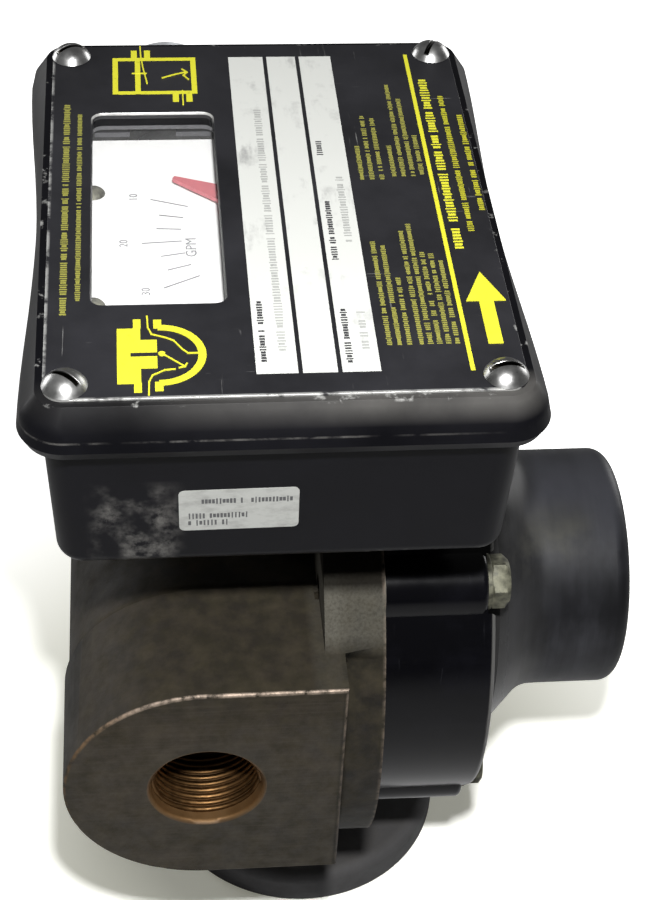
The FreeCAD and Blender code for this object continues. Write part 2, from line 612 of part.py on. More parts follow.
outer = loft_z((BASE_W, BASE_L, BASE_R, BASE_Z), (RIM_W, RIM_L, BASE_R, RIM_Z))
outer = round_edges(outer, BASE_EDGE_R, lambda b: b.ZMax < BASE_Z + 0.01)
hub_pad = rod_y(HUB_PAD_R, CAVITY_L / 2 + WALL / 2, HUB_SEAT_Y, HUB_X, HUB_Z)
base = fuse(outer.cut(inside(FLOOR_Z, RIM_Z)), hub_pad)
base_cuts = [rod_y(HUB_THREAD_R + HOLE_GAP, CAVITY_L / 2, HUB_SEAT_Y, HUB_X, HUB_Z),
             rod_z(CARRIER_HUB_R + HOLE_GAP, BASE_Z, FLOOR_Z)]
for x, y in COVER_SCREWS:
    base_cuts.append(rod_z(SCREW_R, FACE_Z - SCREW_LENGTH - BLIND_GAP, RIM_Z, x, y))
for x, y in BASE_SCREWS:
    base_cuts.append(rod_z(SCREW_R + HOLE_GAP, BASE_Z, FLOOR_Z, x, y))
for x, y in BRACKET_SCREWS + [GROUND_AT]:
    base_cuts.append(rod_z(SMALL_R, BASE_Z + BLIND_GAP / 2, FLOOR_Z, x, y))
save("box_base", base.cut(base_cuts))

seat = ring_z(TOP_FLANGE_R, CARRIER_HUB_R + HOLE_GAP, TOP_FLANGE_Z, BASE_Z)
save("base_gasket", seat.cut([rod_z(SCREW_R + HOLE_GAP, TOP_FLANGE_Z, BASE_Z, x, y) for x, y in BASE_SCREWS]))
base_screw = flat_screw(BASE_HEAD_R, BASE_HEAD_H, SCREW_R, WALL + GASKET_T + TOP_FLANGE_T - BLIND_GAP)
save("base_screws", group(turned(base_screw, (0, 0, 1), 30, (x, y, FLOOR_Z)) for x, y in BASE_SCREWS))
ground_screw = flat_screw(GROUND_HEAD_R, GROUND_HEAD_H, SMALL_R, WALL - BLIND_GAP)
save("ground_screw", turned(ground_screw, (0, 0, 1), 15, (*GROUND_AT, FLOOR_Z)))

# Cover with gasket, screws, face plate and window.
seal = prism_z(RIM_W, RIM_L, BASE_R, RIM_Z, COVER_Z).cut(inside(RIM_Z, COVER_Z))
save("cover_gasket", seal.cut([rod_z(SCREW_R + HOLE_GAP, RIM_Z, COVER_Z, x, y) for x, y in COVER_SCREWS]))


def skirt(growth, z):
    return COVER_W + 2 * growth, COVER_L + 2 * growth, COVER_R + growth, z


cover = loft_z(skirt(COVER_FLARE - COVER_LIP_IN, COVER_Z), skirt(COVER_FLARE, COVER_Z + COVER_LIP),
               skirt(COVER_BULGE, COVER_Z + COVER_BULGE_Z), skirt(0, COVER_TOP_Z))
window_x = (WINDOW_X0 + WINDOW_X1) / 2
opening = prism_z(WINDOW_W, 2 * WINDOW_HALF_Y, WINDOW_R, CEILING_Z, FACE_Z, window_x)
cover_cuts = [inside(COVER_Z, CEILING_Z), opening]
for x, y in COVER_SCREWS:
    cover_cuts.append(rod_z(SCREW_R + HOLE_GAP, COVER_Z, FACE_Z, x, y))
clip_y = WINDOW_HALF_Y + PANE_LAP + CLIP_OUT
CLIPS = [(x, s * clip_y) for x in (WINDOW_X0 + CLIP_INSET, WINDOW_X1 - CLIP_INSET) for s in (-1, 1)]
CLIP_HOLE_L = COVER_TOP_T - BLIND_GAP
for x, y in CLIPS:
    cover_cuts.append(rod_z(SMALL_R, CEILING_Z, CEILING_Z + CLIP_HOLE_L, x, y))
save("box_cover", cover.cut(cover_cuts))

plate_w = COVER_W - 2 * PLATE_INSET
plate_l = COVER_L - 2 * PLATE_INSET
plate = prism_z(plate_w, plate_l, COVER_R - PLATE_INSET, COVER_TOP_Z, FACE_Z)
plate_holes = [rod_z(SCREW_R + HOLE_GAP, COVER_TOP_Z, FACE_Z, x, y) for x, y in COVER_SCREWS]
save("face_plate", plate.cut([opening] + plate_holes))
cover_screws = []
for (x, y), slot_deg in zip(COVER_SCREWS, SLOT_DEGS):
    screw = pan_screw(SCREW_HEAD_R, SCREW_HEAD_H, SCREW_R, SCREW_LENGTH, slot_deg)
    cover_screws.append(screw.translated(V(x, y, FACE_Z)))
save("cover_screws", group(cover_screws))

pane_w = WINDOW_W + 2 * PANE_LAP
pane_l = 2 * (WINDOW_HALF_Y + PANE_LAP)
frame = prism_z(pane_w, pane_l, WINDOW_R, SEAL_Z, CEILING_Z, window_x)
save("window_gasket", frame.cut(opening.translated(V(0, 0, SEAL_Z - CEILING_Z))))
save("window_pane", prism_z(pane_w, pane_l, WINDOW_R, PANE_Z, SEAL_Z, window_x))
clips = []
clip_screws = []
clip_z = PANE_Z - CLIP_PLATE_T
clip_screw_l = CEILING_Z - clip_z + CLIP_HOLE_L - BLIND_GAP / 2
clip_screw = flat_screw(SMALL_HEAD_R, SMALL_HEAD_H, SMALL_R, clip_screw_l)
clip_screw = turned(clip_screw, (1, 0, 0), 180, (0, 0, clip_z))
riser_reach = CLIP_OUT - HOLE_GAP
for x, y in CLIPS:
    s = math.copysign(1.0, y)
    out_y = y + s * CLIP_TAIL
    tongue = box(x - CLIP_W / 2, x + CLIP_W / 2, *sorted((y - s * CLIP_REACH, out_y)), clip_z, PANE_Z)
    riser = box(x - CLIP_W / 2, x + CLIP_W / 2, *sorted((y - s * riser_reach, out_y)), clip_z, CEILING_Z)
    clips.append(fuse(tongue, riser).cut(rod_z(SMALL_R + SMALL_GAP, clip_z, CEILING_Z, x, y)))
    clip_screws.append(clip_screw.translated(V(x, y, 0)))
save("pane_clips", group(clips))
save("pane_clip_screws", group(clip_screws))

# Dial on its posts.
dial_back_z = DIAL_Z - DIAL_T
dial_l = 2 * (WINDOW_HALF_Y + DIAL_LAP_Y)
dial = prism_z(DIAL_X1 - DIAL_X0, dial_l, WINDOW_R, dial_back_z, DIAL_Z, (DIAL_X0 + DIAL_X1) / 2)
save("dial_plate", dial.cut([rod_z(SMALL_R + SMALL_GAP, dial_back_z, DIAL_Z, x, y) for x, y in DIAL_POSTS]))
dial_posts = []
for x, y in DIAL_POSTS:
    post = rod_z(DIAL_POST_R, FLOOR_Z, dial_back_z, x, y)
    dial_posts.append(post.cut(rod_z(SMALL_R, dial_back_z - DIAL_HOLE_L, dial_back_z, x, y)))
save("dial_posts", group(dial_posts))
dial_screw = pan_screw(SMALL_HEAD_R, DIAL_HEAD_H, SMALL_R, DIAL_SCREW_L, 40)
save("dial_screws", group(dial_screw.translated(V(x, y, DIAL_Z)) for x, y in DIAL_POSTS))

# Snap switch on its bracket.
SWITCH_TOP_Z = SWITCH_Z + SWITCH_H
half = SWITCH_W / 2
axis_z = SWITCH_Z + SWITCH_H / 2
plunger_end = PLUNGER_Y + PLUNGER_L
screw_y = SWITCH_Y + SWITCH_D - SWITCH_SCREW_INSET
SWITCH_SCREWS = [(s * SWITCH_SCREW_X, screw_y) for s in (-1, 1)]
switch = box(-half, half, SWITCH_Y, SWITCH_Y + SWITCH_D, SWITCH_Z, SWITCH_TOP_Z)
switch_cuts = [rod_y(PLUNGER_R + RUN_FIT, SWITCH_Y, plunger_end + CAM_RISE + BLIND_GAP, 0, axis_z)]
switch_cuts += [rod_z(SMALL_R + SMALL_GAP, SWITCH_Z, SWITCH_TOP_Z, x, y) for x, y in SWITCH_SCREWS]
save("switch_body", switch.cut(switch_cuts))
tip = Part.makeSphere(PLUNGER_R, V(0, PLUNGER_Y + PLUNGER_R, axis_z))
save("switch_plunger", fuse(rod_y(PLUNGER_R, PLUNGER_Y + PLUNGER_R, plunger_end, 0, axis_z), tip))
shelf = box(-half, half, SWITCH_Y + BLIND_GAP, BRACKET_Y, SWITCH_Z - BRACKET_T, SWITCH_Z)
leg = box(-half, half, BRACKET_Y - BRACKET_T, BRACKET_Y, FLOOR_Z, SWITCH_Z)
toe = box(-half, half, BRACKET_Y - BRACKET_T, BRACKET_Y + BRACKET_FOOT, FLOOR_Z, FLOOR_Z + BRACKET_T)
bracket_cuts = [rod_z(SMALL_R, SWITCH_Z - BRACKET_T, SWITCH_Z, x, y) for x, y in SWITCH_SCREWS]
bracket_cuts += [rod_z(SMALL_R + SMALL_GAP, FLOOR_Z, FLOOR_Z + BRACKET_T, x, y) for x, y in BRACKET_SCREWS]
save("switch_bracket", fuse(shelf, leg, toe).cut(bracket_cuts))
long_screw = flat_screw(SMALL_HEAD_R, SMALL_HEAD_H, SMALL_R, SWITCH_H + BRACKET_T)
short_screw = flat_screw(SMALL_HEAD_R, SMALL_HEAD_H, SMALL_R, BRACKET_T + WALL - BLIND_GAP)
save("switch_screws", group(turned(long_screw, (0, 0, 1), 20, (x, y, SWITCH_TOP_Z)) for x, y in SWITCH_SCREWS))
save("bracket_screws", group(turned(short_screw, (0, 0, 1), 70, (x, y, FLOOR_Z + BRACKET_T))
                             for x, y in BRACKET_SCREWS))
tab_y = SWITCH_Y + SWITCH_D
save("switch_terminals", group(box(i * TAB_PITCH - TAB_W / 2, i * TAB_PITCH + TAB_W / 2, tab_y, tab_y + TAB_L,
                                   axis_z - TAB_T / 2, axis_z + TAB_T / 2) for i in (-1, 0, 1)))

# Terminal block.
half = BLOCK_POLES * BLOCK_PITCH / 2
front_y = BLOCK_Y - BLOCK_D / 2
step_z = FLOOR_Z + BLOCK_STEP_H
block = box(BLOCK_X - half, BLOCK_X + half, front_y, BLOCK_Y + BLOCK_D / 2, FLOOR_Z, FLOOR_Z + BLOCK_H)
poles = [BLOCK_X - half + (i + 0.5) * BLOCK_PITCH for i in range(BLOCK_POLES)]
bay = BLOCK_PITCH * 0.4
pole_y = BLOCK_Y - BLOCK_D / 4
block_cuts = [box(x - bay, x + bay, front_y, BLOCK_Y, step_z, FLOOR_Z + BLOCK_H) for x in poles]
block_cuts += [rod_z(SMALL_R, step_z - TERMINAL_SCREW_L - BLIND_GAP, step_z, x, pole_y) for x in poles]
save("terminal_block", block.cut(block_cuts))
terminal_screw = flat_screw(TERMINAL_HEAD_R, TERMINAL_HEAD_H, SMALL_R, TERMINAL_SCREW_L)
save("terminal_screws", group(turned(terminal_screw, (0, 0, 1), 25 * i, (x, pole_y, step_z))
                              for i, x in enumerate(poles)))

# Conduit hub through the rear wall.
sleeve_y = CAVITY_L / 2 - LOCKNUT_T - SLEEVE_PAST
hub_end_y = HUB_SEAT_Y + HUB_L
sleeve = rod_y(HUB_THREAD_R, sleeve_y, HUB_SEAT_Y, HUB_X, HUB_Z)
hub = fuse(sleeve, rod_y(HUB_R, HUB_SEAT_Y, hub_end_y, HUB_X, HUB_Z))
hub = round_edges(hub, HUB_EDGE_R, lambda b: b.YMin > hub_end_y - 0.01)
save("conduit_hub", hub.cut(rod_y(HUB_BORE_R, sleeve_y, hub_end_y, HUB_X, HUB_Z)))
locknut = turned(hex_prism(LOCKNUT_AF, LOCKNUT_T), (1, 0, 0), 90, (HUB_X, CAVITY_L / 2, HUB_Z))
save("conduit_locknut", locknut.cut(rod_y(HUB_THREAD_R, sleeve_y, CAVITY_L / 2, HUB_X, HUB_Z)))
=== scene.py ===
import itertools
import json
import math

import bmesh
import bpy
from bpy.props import FloatProperty, FloatVectorProperty, IntProperty, PointerProperty
from mathutils import Matrix, Vector


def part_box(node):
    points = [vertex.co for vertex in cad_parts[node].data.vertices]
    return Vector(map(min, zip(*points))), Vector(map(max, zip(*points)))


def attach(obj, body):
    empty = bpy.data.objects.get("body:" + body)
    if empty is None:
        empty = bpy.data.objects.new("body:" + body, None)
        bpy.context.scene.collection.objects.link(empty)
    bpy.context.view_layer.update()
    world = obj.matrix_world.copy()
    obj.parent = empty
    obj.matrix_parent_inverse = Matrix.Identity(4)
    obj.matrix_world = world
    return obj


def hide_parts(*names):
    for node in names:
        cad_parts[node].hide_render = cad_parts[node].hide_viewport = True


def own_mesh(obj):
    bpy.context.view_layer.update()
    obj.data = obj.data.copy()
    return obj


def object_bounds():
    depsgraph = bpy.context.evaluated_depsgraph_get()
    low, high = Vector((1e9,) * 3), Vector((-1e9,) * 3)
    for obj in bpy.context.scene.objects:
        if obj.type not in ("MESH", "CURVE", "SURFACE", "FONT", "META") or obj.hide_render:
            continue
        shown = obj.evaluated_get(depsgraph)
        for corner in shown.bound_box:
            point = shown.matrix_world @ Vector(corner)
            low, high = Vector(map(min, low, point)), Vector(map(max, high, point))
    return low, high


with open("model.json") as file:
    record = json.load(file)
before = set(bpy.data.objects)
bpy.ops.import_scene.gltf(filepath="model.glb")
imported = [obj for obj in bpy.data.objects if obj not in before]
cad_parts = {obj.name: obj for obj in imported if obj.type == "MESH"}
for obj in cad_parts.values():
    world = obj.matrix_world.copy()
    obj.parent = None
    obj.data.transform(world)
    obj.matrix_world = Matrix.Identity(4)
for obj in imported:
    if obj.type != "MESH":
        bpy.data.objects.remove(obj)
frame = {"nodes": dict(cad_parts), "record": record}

bl_info = {
    "name": "Flow Monitor Dressing",
    "version": (1, 0, 0),
    "blender": (4, 5, 0),
    "location": "View3D > Sidebar > Flow Monitor",
    "description": "Dresses the packed flow monitor with finishes, print, threads and a studio",
    "category": "Object",
}

CAD_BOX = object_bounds()
MM = 0.001
HOUSING = "housing"
RECORD = frame["record"]
SLOT_OF = {part["node"]: part["material_slot"] for part in RECORD["subparts"]}
BODY_OF = {node: body for body, nodes in RECORD["behaviour"]["bodies"].items() for node in nodes}
MOUNTS = {mount["name"]: mount for mount in RECORD["mounts"]}
SHARP = math.radians(35)
FLAT = math.radians(0.5)


def corners(node):
    """Lowest and highest corner of a node at rest."""
    return [Vector(c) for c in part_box(node)]


# Places that the frame gives, in metres.
PLATE_LOW, PLATE_HIGH = corners("face_plate")
COVER_LOW, COVER_HIGH = corners("box_cover")
BASE_LOW, BASE_HIGH = corners("box_base")
GASKET_LOW, GASKET_HIGH = corners("window_gasket")
SCREWS_LOW, SCREWS_HIGH = corners("cover_screws")
WASHERS_LOW, WASHERS_HIGH = corners("cap_washers")
BOLTS_LOW, BOLTS_HIGH = corners("cap_bolts")
PAD_Y = corners("meter_body")[0].y
DIAL_Z = corners("dial_plate")[1].z
FACE_Z = PLATE_HIGH.z
BOX_X = (PLATE_LOW.x + PLATE_HIGH.x) / 2
INLET = Vector(MOUNTS["inlet_port"]["pos_m"])
OUTLET = Vector(MOUNTS["outlet_port"]["pos_m"])
CONDUIT = Vector(MOUNTS["conduit_entry"]["pos_m"])
PORT_R = MOUNTS["inlet_port"]["dims"]["r_mm"] * MM
CONDUIT_R = MOUNTS["conduit_entry"]["dims"]["r_mm"] * MM

# Sizes that the solids share with these pieces, in metres.
PANE_LAP = 3.5 * MM
WINDOW_R = 2.5 * MM
WASHER_R = 6.6 * MM
BOLT_SHANK_R = 3.2 * MM
BOLT_HEAD_H = 4.5 * MM
BOLT_HEAD_AF = 11.1 * MM
SCREW_HEAD_R = 4.5 * MM
SCREW_HEAD_H = 3.0 * MM
SCREW_BALL = (SCREW_HEAD_R ** 2 + SCREW_HEAD_H ** 2) / (2 * SCREW_HEAD_H)
SCREW_SHANK_R = 2.4 * MM
SCREW_SLOT = 1.2 * MM
PAD_R = 33.0 * MM
PAD_RIGHT_X = 3.0 * MM
PAD_EDGE = 0.8 * MM
BASE_DRAFT = 1.3 * MM
PLATE_INSET = 1.5 * MM
PLATE_R = 4.0 * MM
CAP_SHOULDER_X = WASHERS_LOW.x + 2.0 * MM
CAP_CONE_R = 40.35 * MM
CAP_TAIL_R = 30.33 * MM
FLANGE_X = 12.3 * MM
FLANGE_R = 65.0 * MM
LUG_X = 1.8 * MM

# Depths that the dressing adds, in metres.
PLATE_ROUND = 0.12 * MM
WASHER_ROUND = 0.15 * MM
MERGE = 0.002 * MM


def colour(name, note, value):
    """A colour that the panel shows."""
    return FloatVectorProperty(name=name, description=note, subtype="COLOR", size=3, min=0, max=1, default=value)


def length(name, note, value):
    """A length that the panel shows."""
    return FloatProperty(name=name, description=note, unit="LENGTH", subtype="DISTANCE", min=0, default=value)


def number(name, note, value):
    """A plain number that the panel shows."""
    return FloatProperty(name=name, description=note, default=value)


def count(name, note, value):
    """A whole number that the panel shows."""
    return IntProperty(name=name, description=note, min=2, default=value)


def point(name, note, value):
    """A place in metres that the panel shows."""
    return FloatVectorProperty(name=name, description=note, subtype="TRANSLATION", size=3, default=value)


class FlowFinishes(bpy.types.PropertyGroup):
    """Colours of the finishes"""
    bronze_dark: colour("Dark bronze", "Patina in the hollows", (0.020, 0.017, 0.013))
    bronze_light: colour("Light bronze", "Patina on the open faces", (0.038, 0.0325, 0.0245))
    bronze_dust: colour("Dusty bronze", "Grey bloom on faces that look up", (0.047, 0.0445, 0.0365))
    bronze_warm: colour("Warm bronze", "Brown clouds in the patina", (0.034, 0.0255, 0.0165))
    bronze_spot: colour("Dark mottle", "Dark spots in the patina", (0.022, 0.0195, 0.0125))
    bronze_ochre: colour("Pale mottle", "Ochre spots in the patina", (0.060, 0.049, 0.031))
    copper: colour("Copper", "Freshly cut bronze", (0.190, 0.104, 0.042))
    rubbed: colour("Rubbed edge", "Bronze worn bright along edges", (0.440, 0.350, 0.280))
    foot: colour("Foot", "Grey dirt on the foot", (0.058, 0.057, 0.058))
    paint: colour("Box paint", "Black paint of the box", (0.003, 0.003, 0.004))
    # Also the colour of the painted sheen on the cover's skirt.
    paint_scuff_and_sheen: colour("Paint scuff", "Grey where the paint is rubbed", (0.085, 0.082, 0.077))
    bare_metal: colour("Bare metal", "Metal under chipped paint", (0.560, 0.560, 0.540))
    plastic: colour("Moulded black", "Glossy drum of the cap", (0.0012, 0.0012, 0.0018))
    plastic_worn: colour("Worn black", "Satin tail of the cap", (0.021, 0.0215, 0.025))
    cap_handled: colour("Handled cap", "Olive patch where the tail is gripped", (0.048, 0.047, 0.038))
    # Also the colour of the painted highlight along the drum's rim.
    cap_dust_and_highlight: colour("Cap dust", "Pale dust in the cap's neck and along its rim", (0.130, 0.128, 0.122))
    plate: colour("Face plate", "Printed black of the face", (0.013, 0.013, 0.015))
    yellow: colour("Print yellow", "Printed lines of the face", (0.590, 0.570, 0.030))
    field: colour("Fields", "Pale fields of the face", (0.540, 0.548, 0.520))
    field_stain: colour("Field stain", "Smudges on the pale fields", (0.250, 0.250, 0.245))
    print_black: colour("Print black", "Headings on the pale fields", (0.035, 0.035, 0.038))
    dial: colour("Dial", "White of the dial", (0.800, 0.800, 0.785))
    small_print: colour("Small print", "Dull yellow of the small rows", (0.240, 0.232, 0.045))
    stamp: colour("Stamp", "Grey of the stamped rows", (0.330, 0.335, 0.320))
    ink: colour("Ink", "Marks of the dial", (0.130, 0.130, 0.140))
    pointer: colour("Pointer", "Red of the pointer", (0.470, 0.095, 0.115))
    paper: colour("Paper", "Label on the front wall", (0.310, 0.315, 0.297))
    paper_dirt: colour("Paper dirt", "Dirt worked into the label", (0.160, 0.160, 0.150))
    label_ink: colour("Label ink", "Print of the label", (0.060, 0.060, 0.062))
    grime: colour("Grime", "Dirt in the slots of screws", (0.020, 0.018, 0.015))


class FlowSizes(bpy.types.PropertyGroup):
    """Sizes of the dressing"""
    edge_round: length("Edge round", "Rounding of moulded and painted edges", 0.25 * MM)
    thread_pitch: length("Thread pitch", "Pitch of the pipe threads", 25.4 / 14 * MM)
    thread_depth: length("Thread depth", "Height of a thread ridge", 0.85 * MM)
    thread_length: length("Thread length", "Threaded part of a port", 17.0 * MM)
    print_lift: length("Print thickness", "How far print stands off its ground", 0.06 * MM)
    rule_width: length("Rule width", "Width of the long printed line", 0.9 * MM)
    stroke: length("Diagram stroke", "Width of a diagram's lines", 1.25 * MM)
    fine_stroke: length("Fine stroke", "Width of a diagram's thin lines", 0.32 * MM)
    tick_width: length("Tick width", "Width of a dial mark", 0.32 * MM)
    numeral: length("Numeral", "Height of the dial's numerals", 2.6 * MM)
    trim_width: length("Window trim", "Width of the bevel round the window", 0.3 * MM)
    label_width: length("Label width", "Width of the paper label", 24.2 * MM)
    label_height: length("Label height", "Height of the paper label", 11.6 * MM)
    spring_wire: length("Spring wire", "Thickness of the range spring's wire", 2.2 * MM)
    spring_turns: count("Spring turns", "Turns of the range spring", 9)
    tick_count: count("Ticks", "Marks on the dial", 7)


class FlowStudio(bpy.types.PropertyGroup):
    """Camera and lamps"""
    heading: number("Heading", "Camera heading from +Y, degrees", 7.24)
    tilt: number("Tilt", "Camera tilt below level, degrees", 42.94)
    roll: number("Roll", "Camera roll, degrees", -3.33)
    place: point("Place", "Camera place", (-0.03885, -0.33473, 0.4473))
    lens: number("Lens", "Focal length in mm on a 36 mm sensor", 76.0)
    key_power: number("Key power", "Power of the key lamp in watts", 3.8)
    key_rise: length("Key rise", "Height of the key lamp above the camera", 0.072)
    key_shift: length("Key shift", "Distance of the key lamp to the right of the camera", 0.018)
    key_size: length("Key size", "Width of the key lamp", 0.028)
    back_power: number("Back power", "Power of each soft lamp behind, in watts", 3.4)
    back_place: point("Back place", "Place of the right lamp behind; the left mirrors it", (0.85, 0.75, 0.24))
    back_size: length("Back size", "Width of each soft lamp behind", 0.6)
    sky: number("Sky", "Strength of the surrounding light", 0.12)
    floor_glow: number("Floor glow", "White added to the floor under the part", 0.16)
    glow_from: length("Glow start", "Distance from the spindle at which the floor starts to whiten", 0.048)
    glow_full: length("Glow end", "Distance from the spindle at which the floor is white", 0.150)


# Finishes

class Tree:
    """A node tree, with short calls that make and link its nodes."""

    def __init__(self, tree):
        self.tree = tree

    def node(self, kind, settings=None, **inputs):
        """A node with some settings, and with inputs that are linked or set."""
        made = self.tree.nodes.new(kind)
        for key, value in (settings or {}).items():
            setattr(made, key, value)
        for key, value in inputs.items():
            self.feed(made.inputs[key.replace("_", " ")], value)
        return made

    def feed(self, target, value):
        """Links another node's output to an input, or sets the input."""
        if hasattr(value, "is_linked"):
            self.tree.links.new(value, target)
        elif target.type == "RGBA":
            target.default_value = (*value[:3], 1.0)
        else:
            target.default_value = value

    def math(self, operation, *values):
        made = self.node("ShaderNodeMath", {"operation": operation})
        for target, value in zip(made.inputs, values):
            self.feed(target, value)
        return made.outputs[0]


class Finish(Tree):
    """A material's node tree, with short calls for the nodes that these finishes share."""

    def __init__(self, name):
        self.material = bpy.data.materials.new(name)
        self.material.use_nodes = True
        super().__init__(self.material.node_tree)
        self.shader = self.tree.nodes["Principled BSDF"]
        self.coordinates = self.node("ShaderNodeTexCoord").outputs
        self.place = self.coordinates["Object"]

    def set(self, **values):
        for key, value in values.items():
            self.feed(self.shader.inputs[key.replace("_", " ")], value)
        return self

    def axes(self, source="Object"):
        return self.node("ShaderNodeSeparateXYZ", Vector=self.coordinates[source]).outputs[:]

    def stretched(self, stretch, turn=0):
        """Coordinates stretched, and turned about Z by degrees, for noise that runs one way."""
        spin = (0, 0, math.radians(turn))
        return self.node("ShaderNodeMapping", Vector=self.place, Scale=stretch, Rotation=spin).outputs["Vector"]

    def noise(self, scale, detail=4.0, rough=0.55, where=None):
        return self.node("ShaderNodeTexNoise", Vector=where or self.place, Scale=scale, Detail=detail,
                         Roughness=rough).outputs["Fac"]

    def streaks(self, stretch, detail, rough, turn=0):
        """Noise drawn out along an axis."""
        return self.noise(1.0, detail, rough, self.stretched(stretch, turn))

    def cells(self, scale):
        return self.node("ShaderNodeTexVoronoi", Vector=self.place, Scale=scale).outputs["Distance"]

    def ramp(self, value, low, high, start=0.0, end=1.0):
        """A number that goes from start to end while a value goes from low to high."""
        return self.node("ShaderNodeMapRange", Value=value, From_Min=low, From_Max=high, To_Min=start,
                         To_Max=end).outputs["Result"]

    def step(self, value, at, low, high, start=0.0, end=1.0):
        """A ramp whose limits are given in mm from a place."""
        return self.ramp(value, at + low * MM, at + high * MM, start, end)

    def plus(self, a, b):
        return self.math("ADD", a, b)

    def minus(self, a, b):
        return self.math("SUBTRACT", a, b)

    def times(self, a, b):
        return self.math("MULTIPLY", a, b)

    def all_of(self, *masks):
        """Where every mask is on."""
        mask = masks[0]
        for other in masks[1:]:
            mask = self.times(mask, other)
        return mask

    def any_of(self, *masks):
        """Where at least one mask is on."""
        mask = masks[0]
        for other in masks[1:]:
            mask = self.math("MAXIMUM", mask, other)
        return mask

    def off(self, value, centre):
        """Distance of a coordinate from a plane."""
        return self.math("ABSOLUTE", self.minus(value, centre))

    def band(self, value, at, start, full, fade, end):
        """Mask that rises from start to full and falls from fade to end, in mm from a place."""
        return self.times(self.step(value, at, start, full), self.step(value, at, end, fade))

    def radius(self, a, b):
        return self.math("SQRT", self.plus(self.math("POWER", a, 2.0), self.math("POWER", b, 2.0)))

    def mix(self, factor, a, b):
        """A colour that goes from a to b with a mask."""
        made = self.node("ShaderNodeMix", {"data_type": "RGBA"}, Factor=factor)
        self.feed(made.inputs[6], a)
        self.feed(made.inputs[7], b)
        return made.outputs[2]

    def blend(self, value, a, b):
        """A number that goes from a to b with a mask."""
        return self.ramp(value, 0.0, 1.0, a, b)

    def bump(self, height, strength, distance):
        made = self.node("ShaderNodeBump", Height=height, Strength=strength, Distance=distance)
        return self.set(Normal=made.outputs["Normal"])


def speckled(name, dark, light, grain=400.0, rough=(0.35, 0.55), metallic=0.0, bump=0.08):
    """A plain finish whose tone and gloss drift a little over the surface."""
    f = Finish(name)
    cloud = f.noise(grain * 0.12)
    fine = f.noise(grain, 6.0)
    tone = f.ramp(f.plus(f.times(cloud, 0.6), f.times(fine, 0.4)), 0.35, 0.65)
    f.set(Base_Color=f.mix(tone, dark, light), Metallic=metallic, Roughness=f.ramp(fine, 0.3, 0.7, *rough))
    return f.bump(fine, bump, 0.1 * MM).material


def scaled(value, factor):
    """A colour made darker or lighter."""
    return tuple(min(1.0, c * factor) for c in value)


def patina_tone(f, tints, blotch):
    """Brown of the casting, clouded and stained."""
    tone = f.ramp(f.plus(f.times(f.noise(24, 5, 0.6), 0.55), f.times(blotch, 0.45)), 0.36, 0.66)
    brown = f.mix(tone, tints.bronze_dark, scaled(tints.bronze_light, 0.9))
    brown = f.mix(f.ramp(f.noise(34, 3, 0.5), 0.46, 0.62, 0.0, 0.55), brown, tints.bronze_warm)
    stains = f.ramp(f.noise(95, 6, 0.72), 0.50, 0.66, 0.0, 0.5)
    return f.mix(stains, brown, scaled(tints.bronze_dark, 0.55))


def patina_dirt_and_shade(f, tints, brown, mottle, box_shade):
    """Grime and painted shade on what faces up, grime on the flange, painted shade darkening towards the box, and
    mottling all over.
    """
    upward = f.ramp(f.axes("Normal")[2], 0.25, 0.9)
    on_flange = f.step(f.axes()[0], LUG_X, -0.3, 0.3)
    grime = f.mix(on_flange, tints.bronze_dark, scaled(tints.bronze_dark, 0.4))
    # What faces up is darkened: grime, and painted shade where the box shadows the tops. The flange is darker with
    # grime.
    brown = f.mix(f.any_of(f.times(upward, 0.75), on_flange), brown, grime)
    # Painted shade, darker towards the box above.
    brown = f.mix(box_shade, brown, scaled(tints.bronze_dark, 0.3))
    brown = f.mix(f.ramp(mottle, 0.40, 0.60, 0.0, 0.55), brown, tints.bronze_spot)
    return f.mix(f.ramp(f.noise(210, 5, 0.6), 0.40, 0.75, 0.0, 0.35), brown, tints.bronze_ochre)


def lug_mask(f, pits):
    """The dusty near lugs of the flange."""
    x, y, z = f.axes()
    across = f.times(f.step(x, LUG_X, -7, -5), f.step(x, LUG_X, 2, -1, 0.7, 1.0))
    high = f.step(z, INLET.z, 32, 36.5)
    return f.all_of(across, high, f.step(y, 0, -18, -22), f.ramp(pits, 0.3, 0.6, 0.5, 1.0))


def pad_edges(f, side_x, side_z, from_port):
    """The outline of the inlet's pad, rubbed most at its top."""
    x, y, _ = f.axes()
    far = 0.15 * MM
    level = f.ramp(f.math("ABSOLUTE", side_z), PAD_R - PAD_EDGE, PAD_R - far)
    right = f.ramp(x, PAD_RIGHT_X - PAD_EDGE, PAD_RIGHT_X - far)
    bend = f.times(f.ramp(from_port, PAD_R - PAD_EDGE, PAD_R - far), f.step(side_x, 0, 1, -1))
    high = f.ramp(side_z, -PAD_R, PAD_R * 0.9, 0.25, 1.0)
    on_edge = f.step(y, PAD_Y, 0.9, 0.45)
    return f.all_of(f.any_of(level, f.times(right, 0.4), bend), on_edge, high)


def flange_edge(f, side_z):
    """The flange's outer edge on the cap's side."""
    x, y, _ = f.axes()
    from_axis = f.radius(y, side_z)
    return f.times(f.band(x, FLANGE_X, -0.8, -0.1, 0, 1), f.band(from_axis, FLANGE_R, -1, -0.4, 0.3, 1))


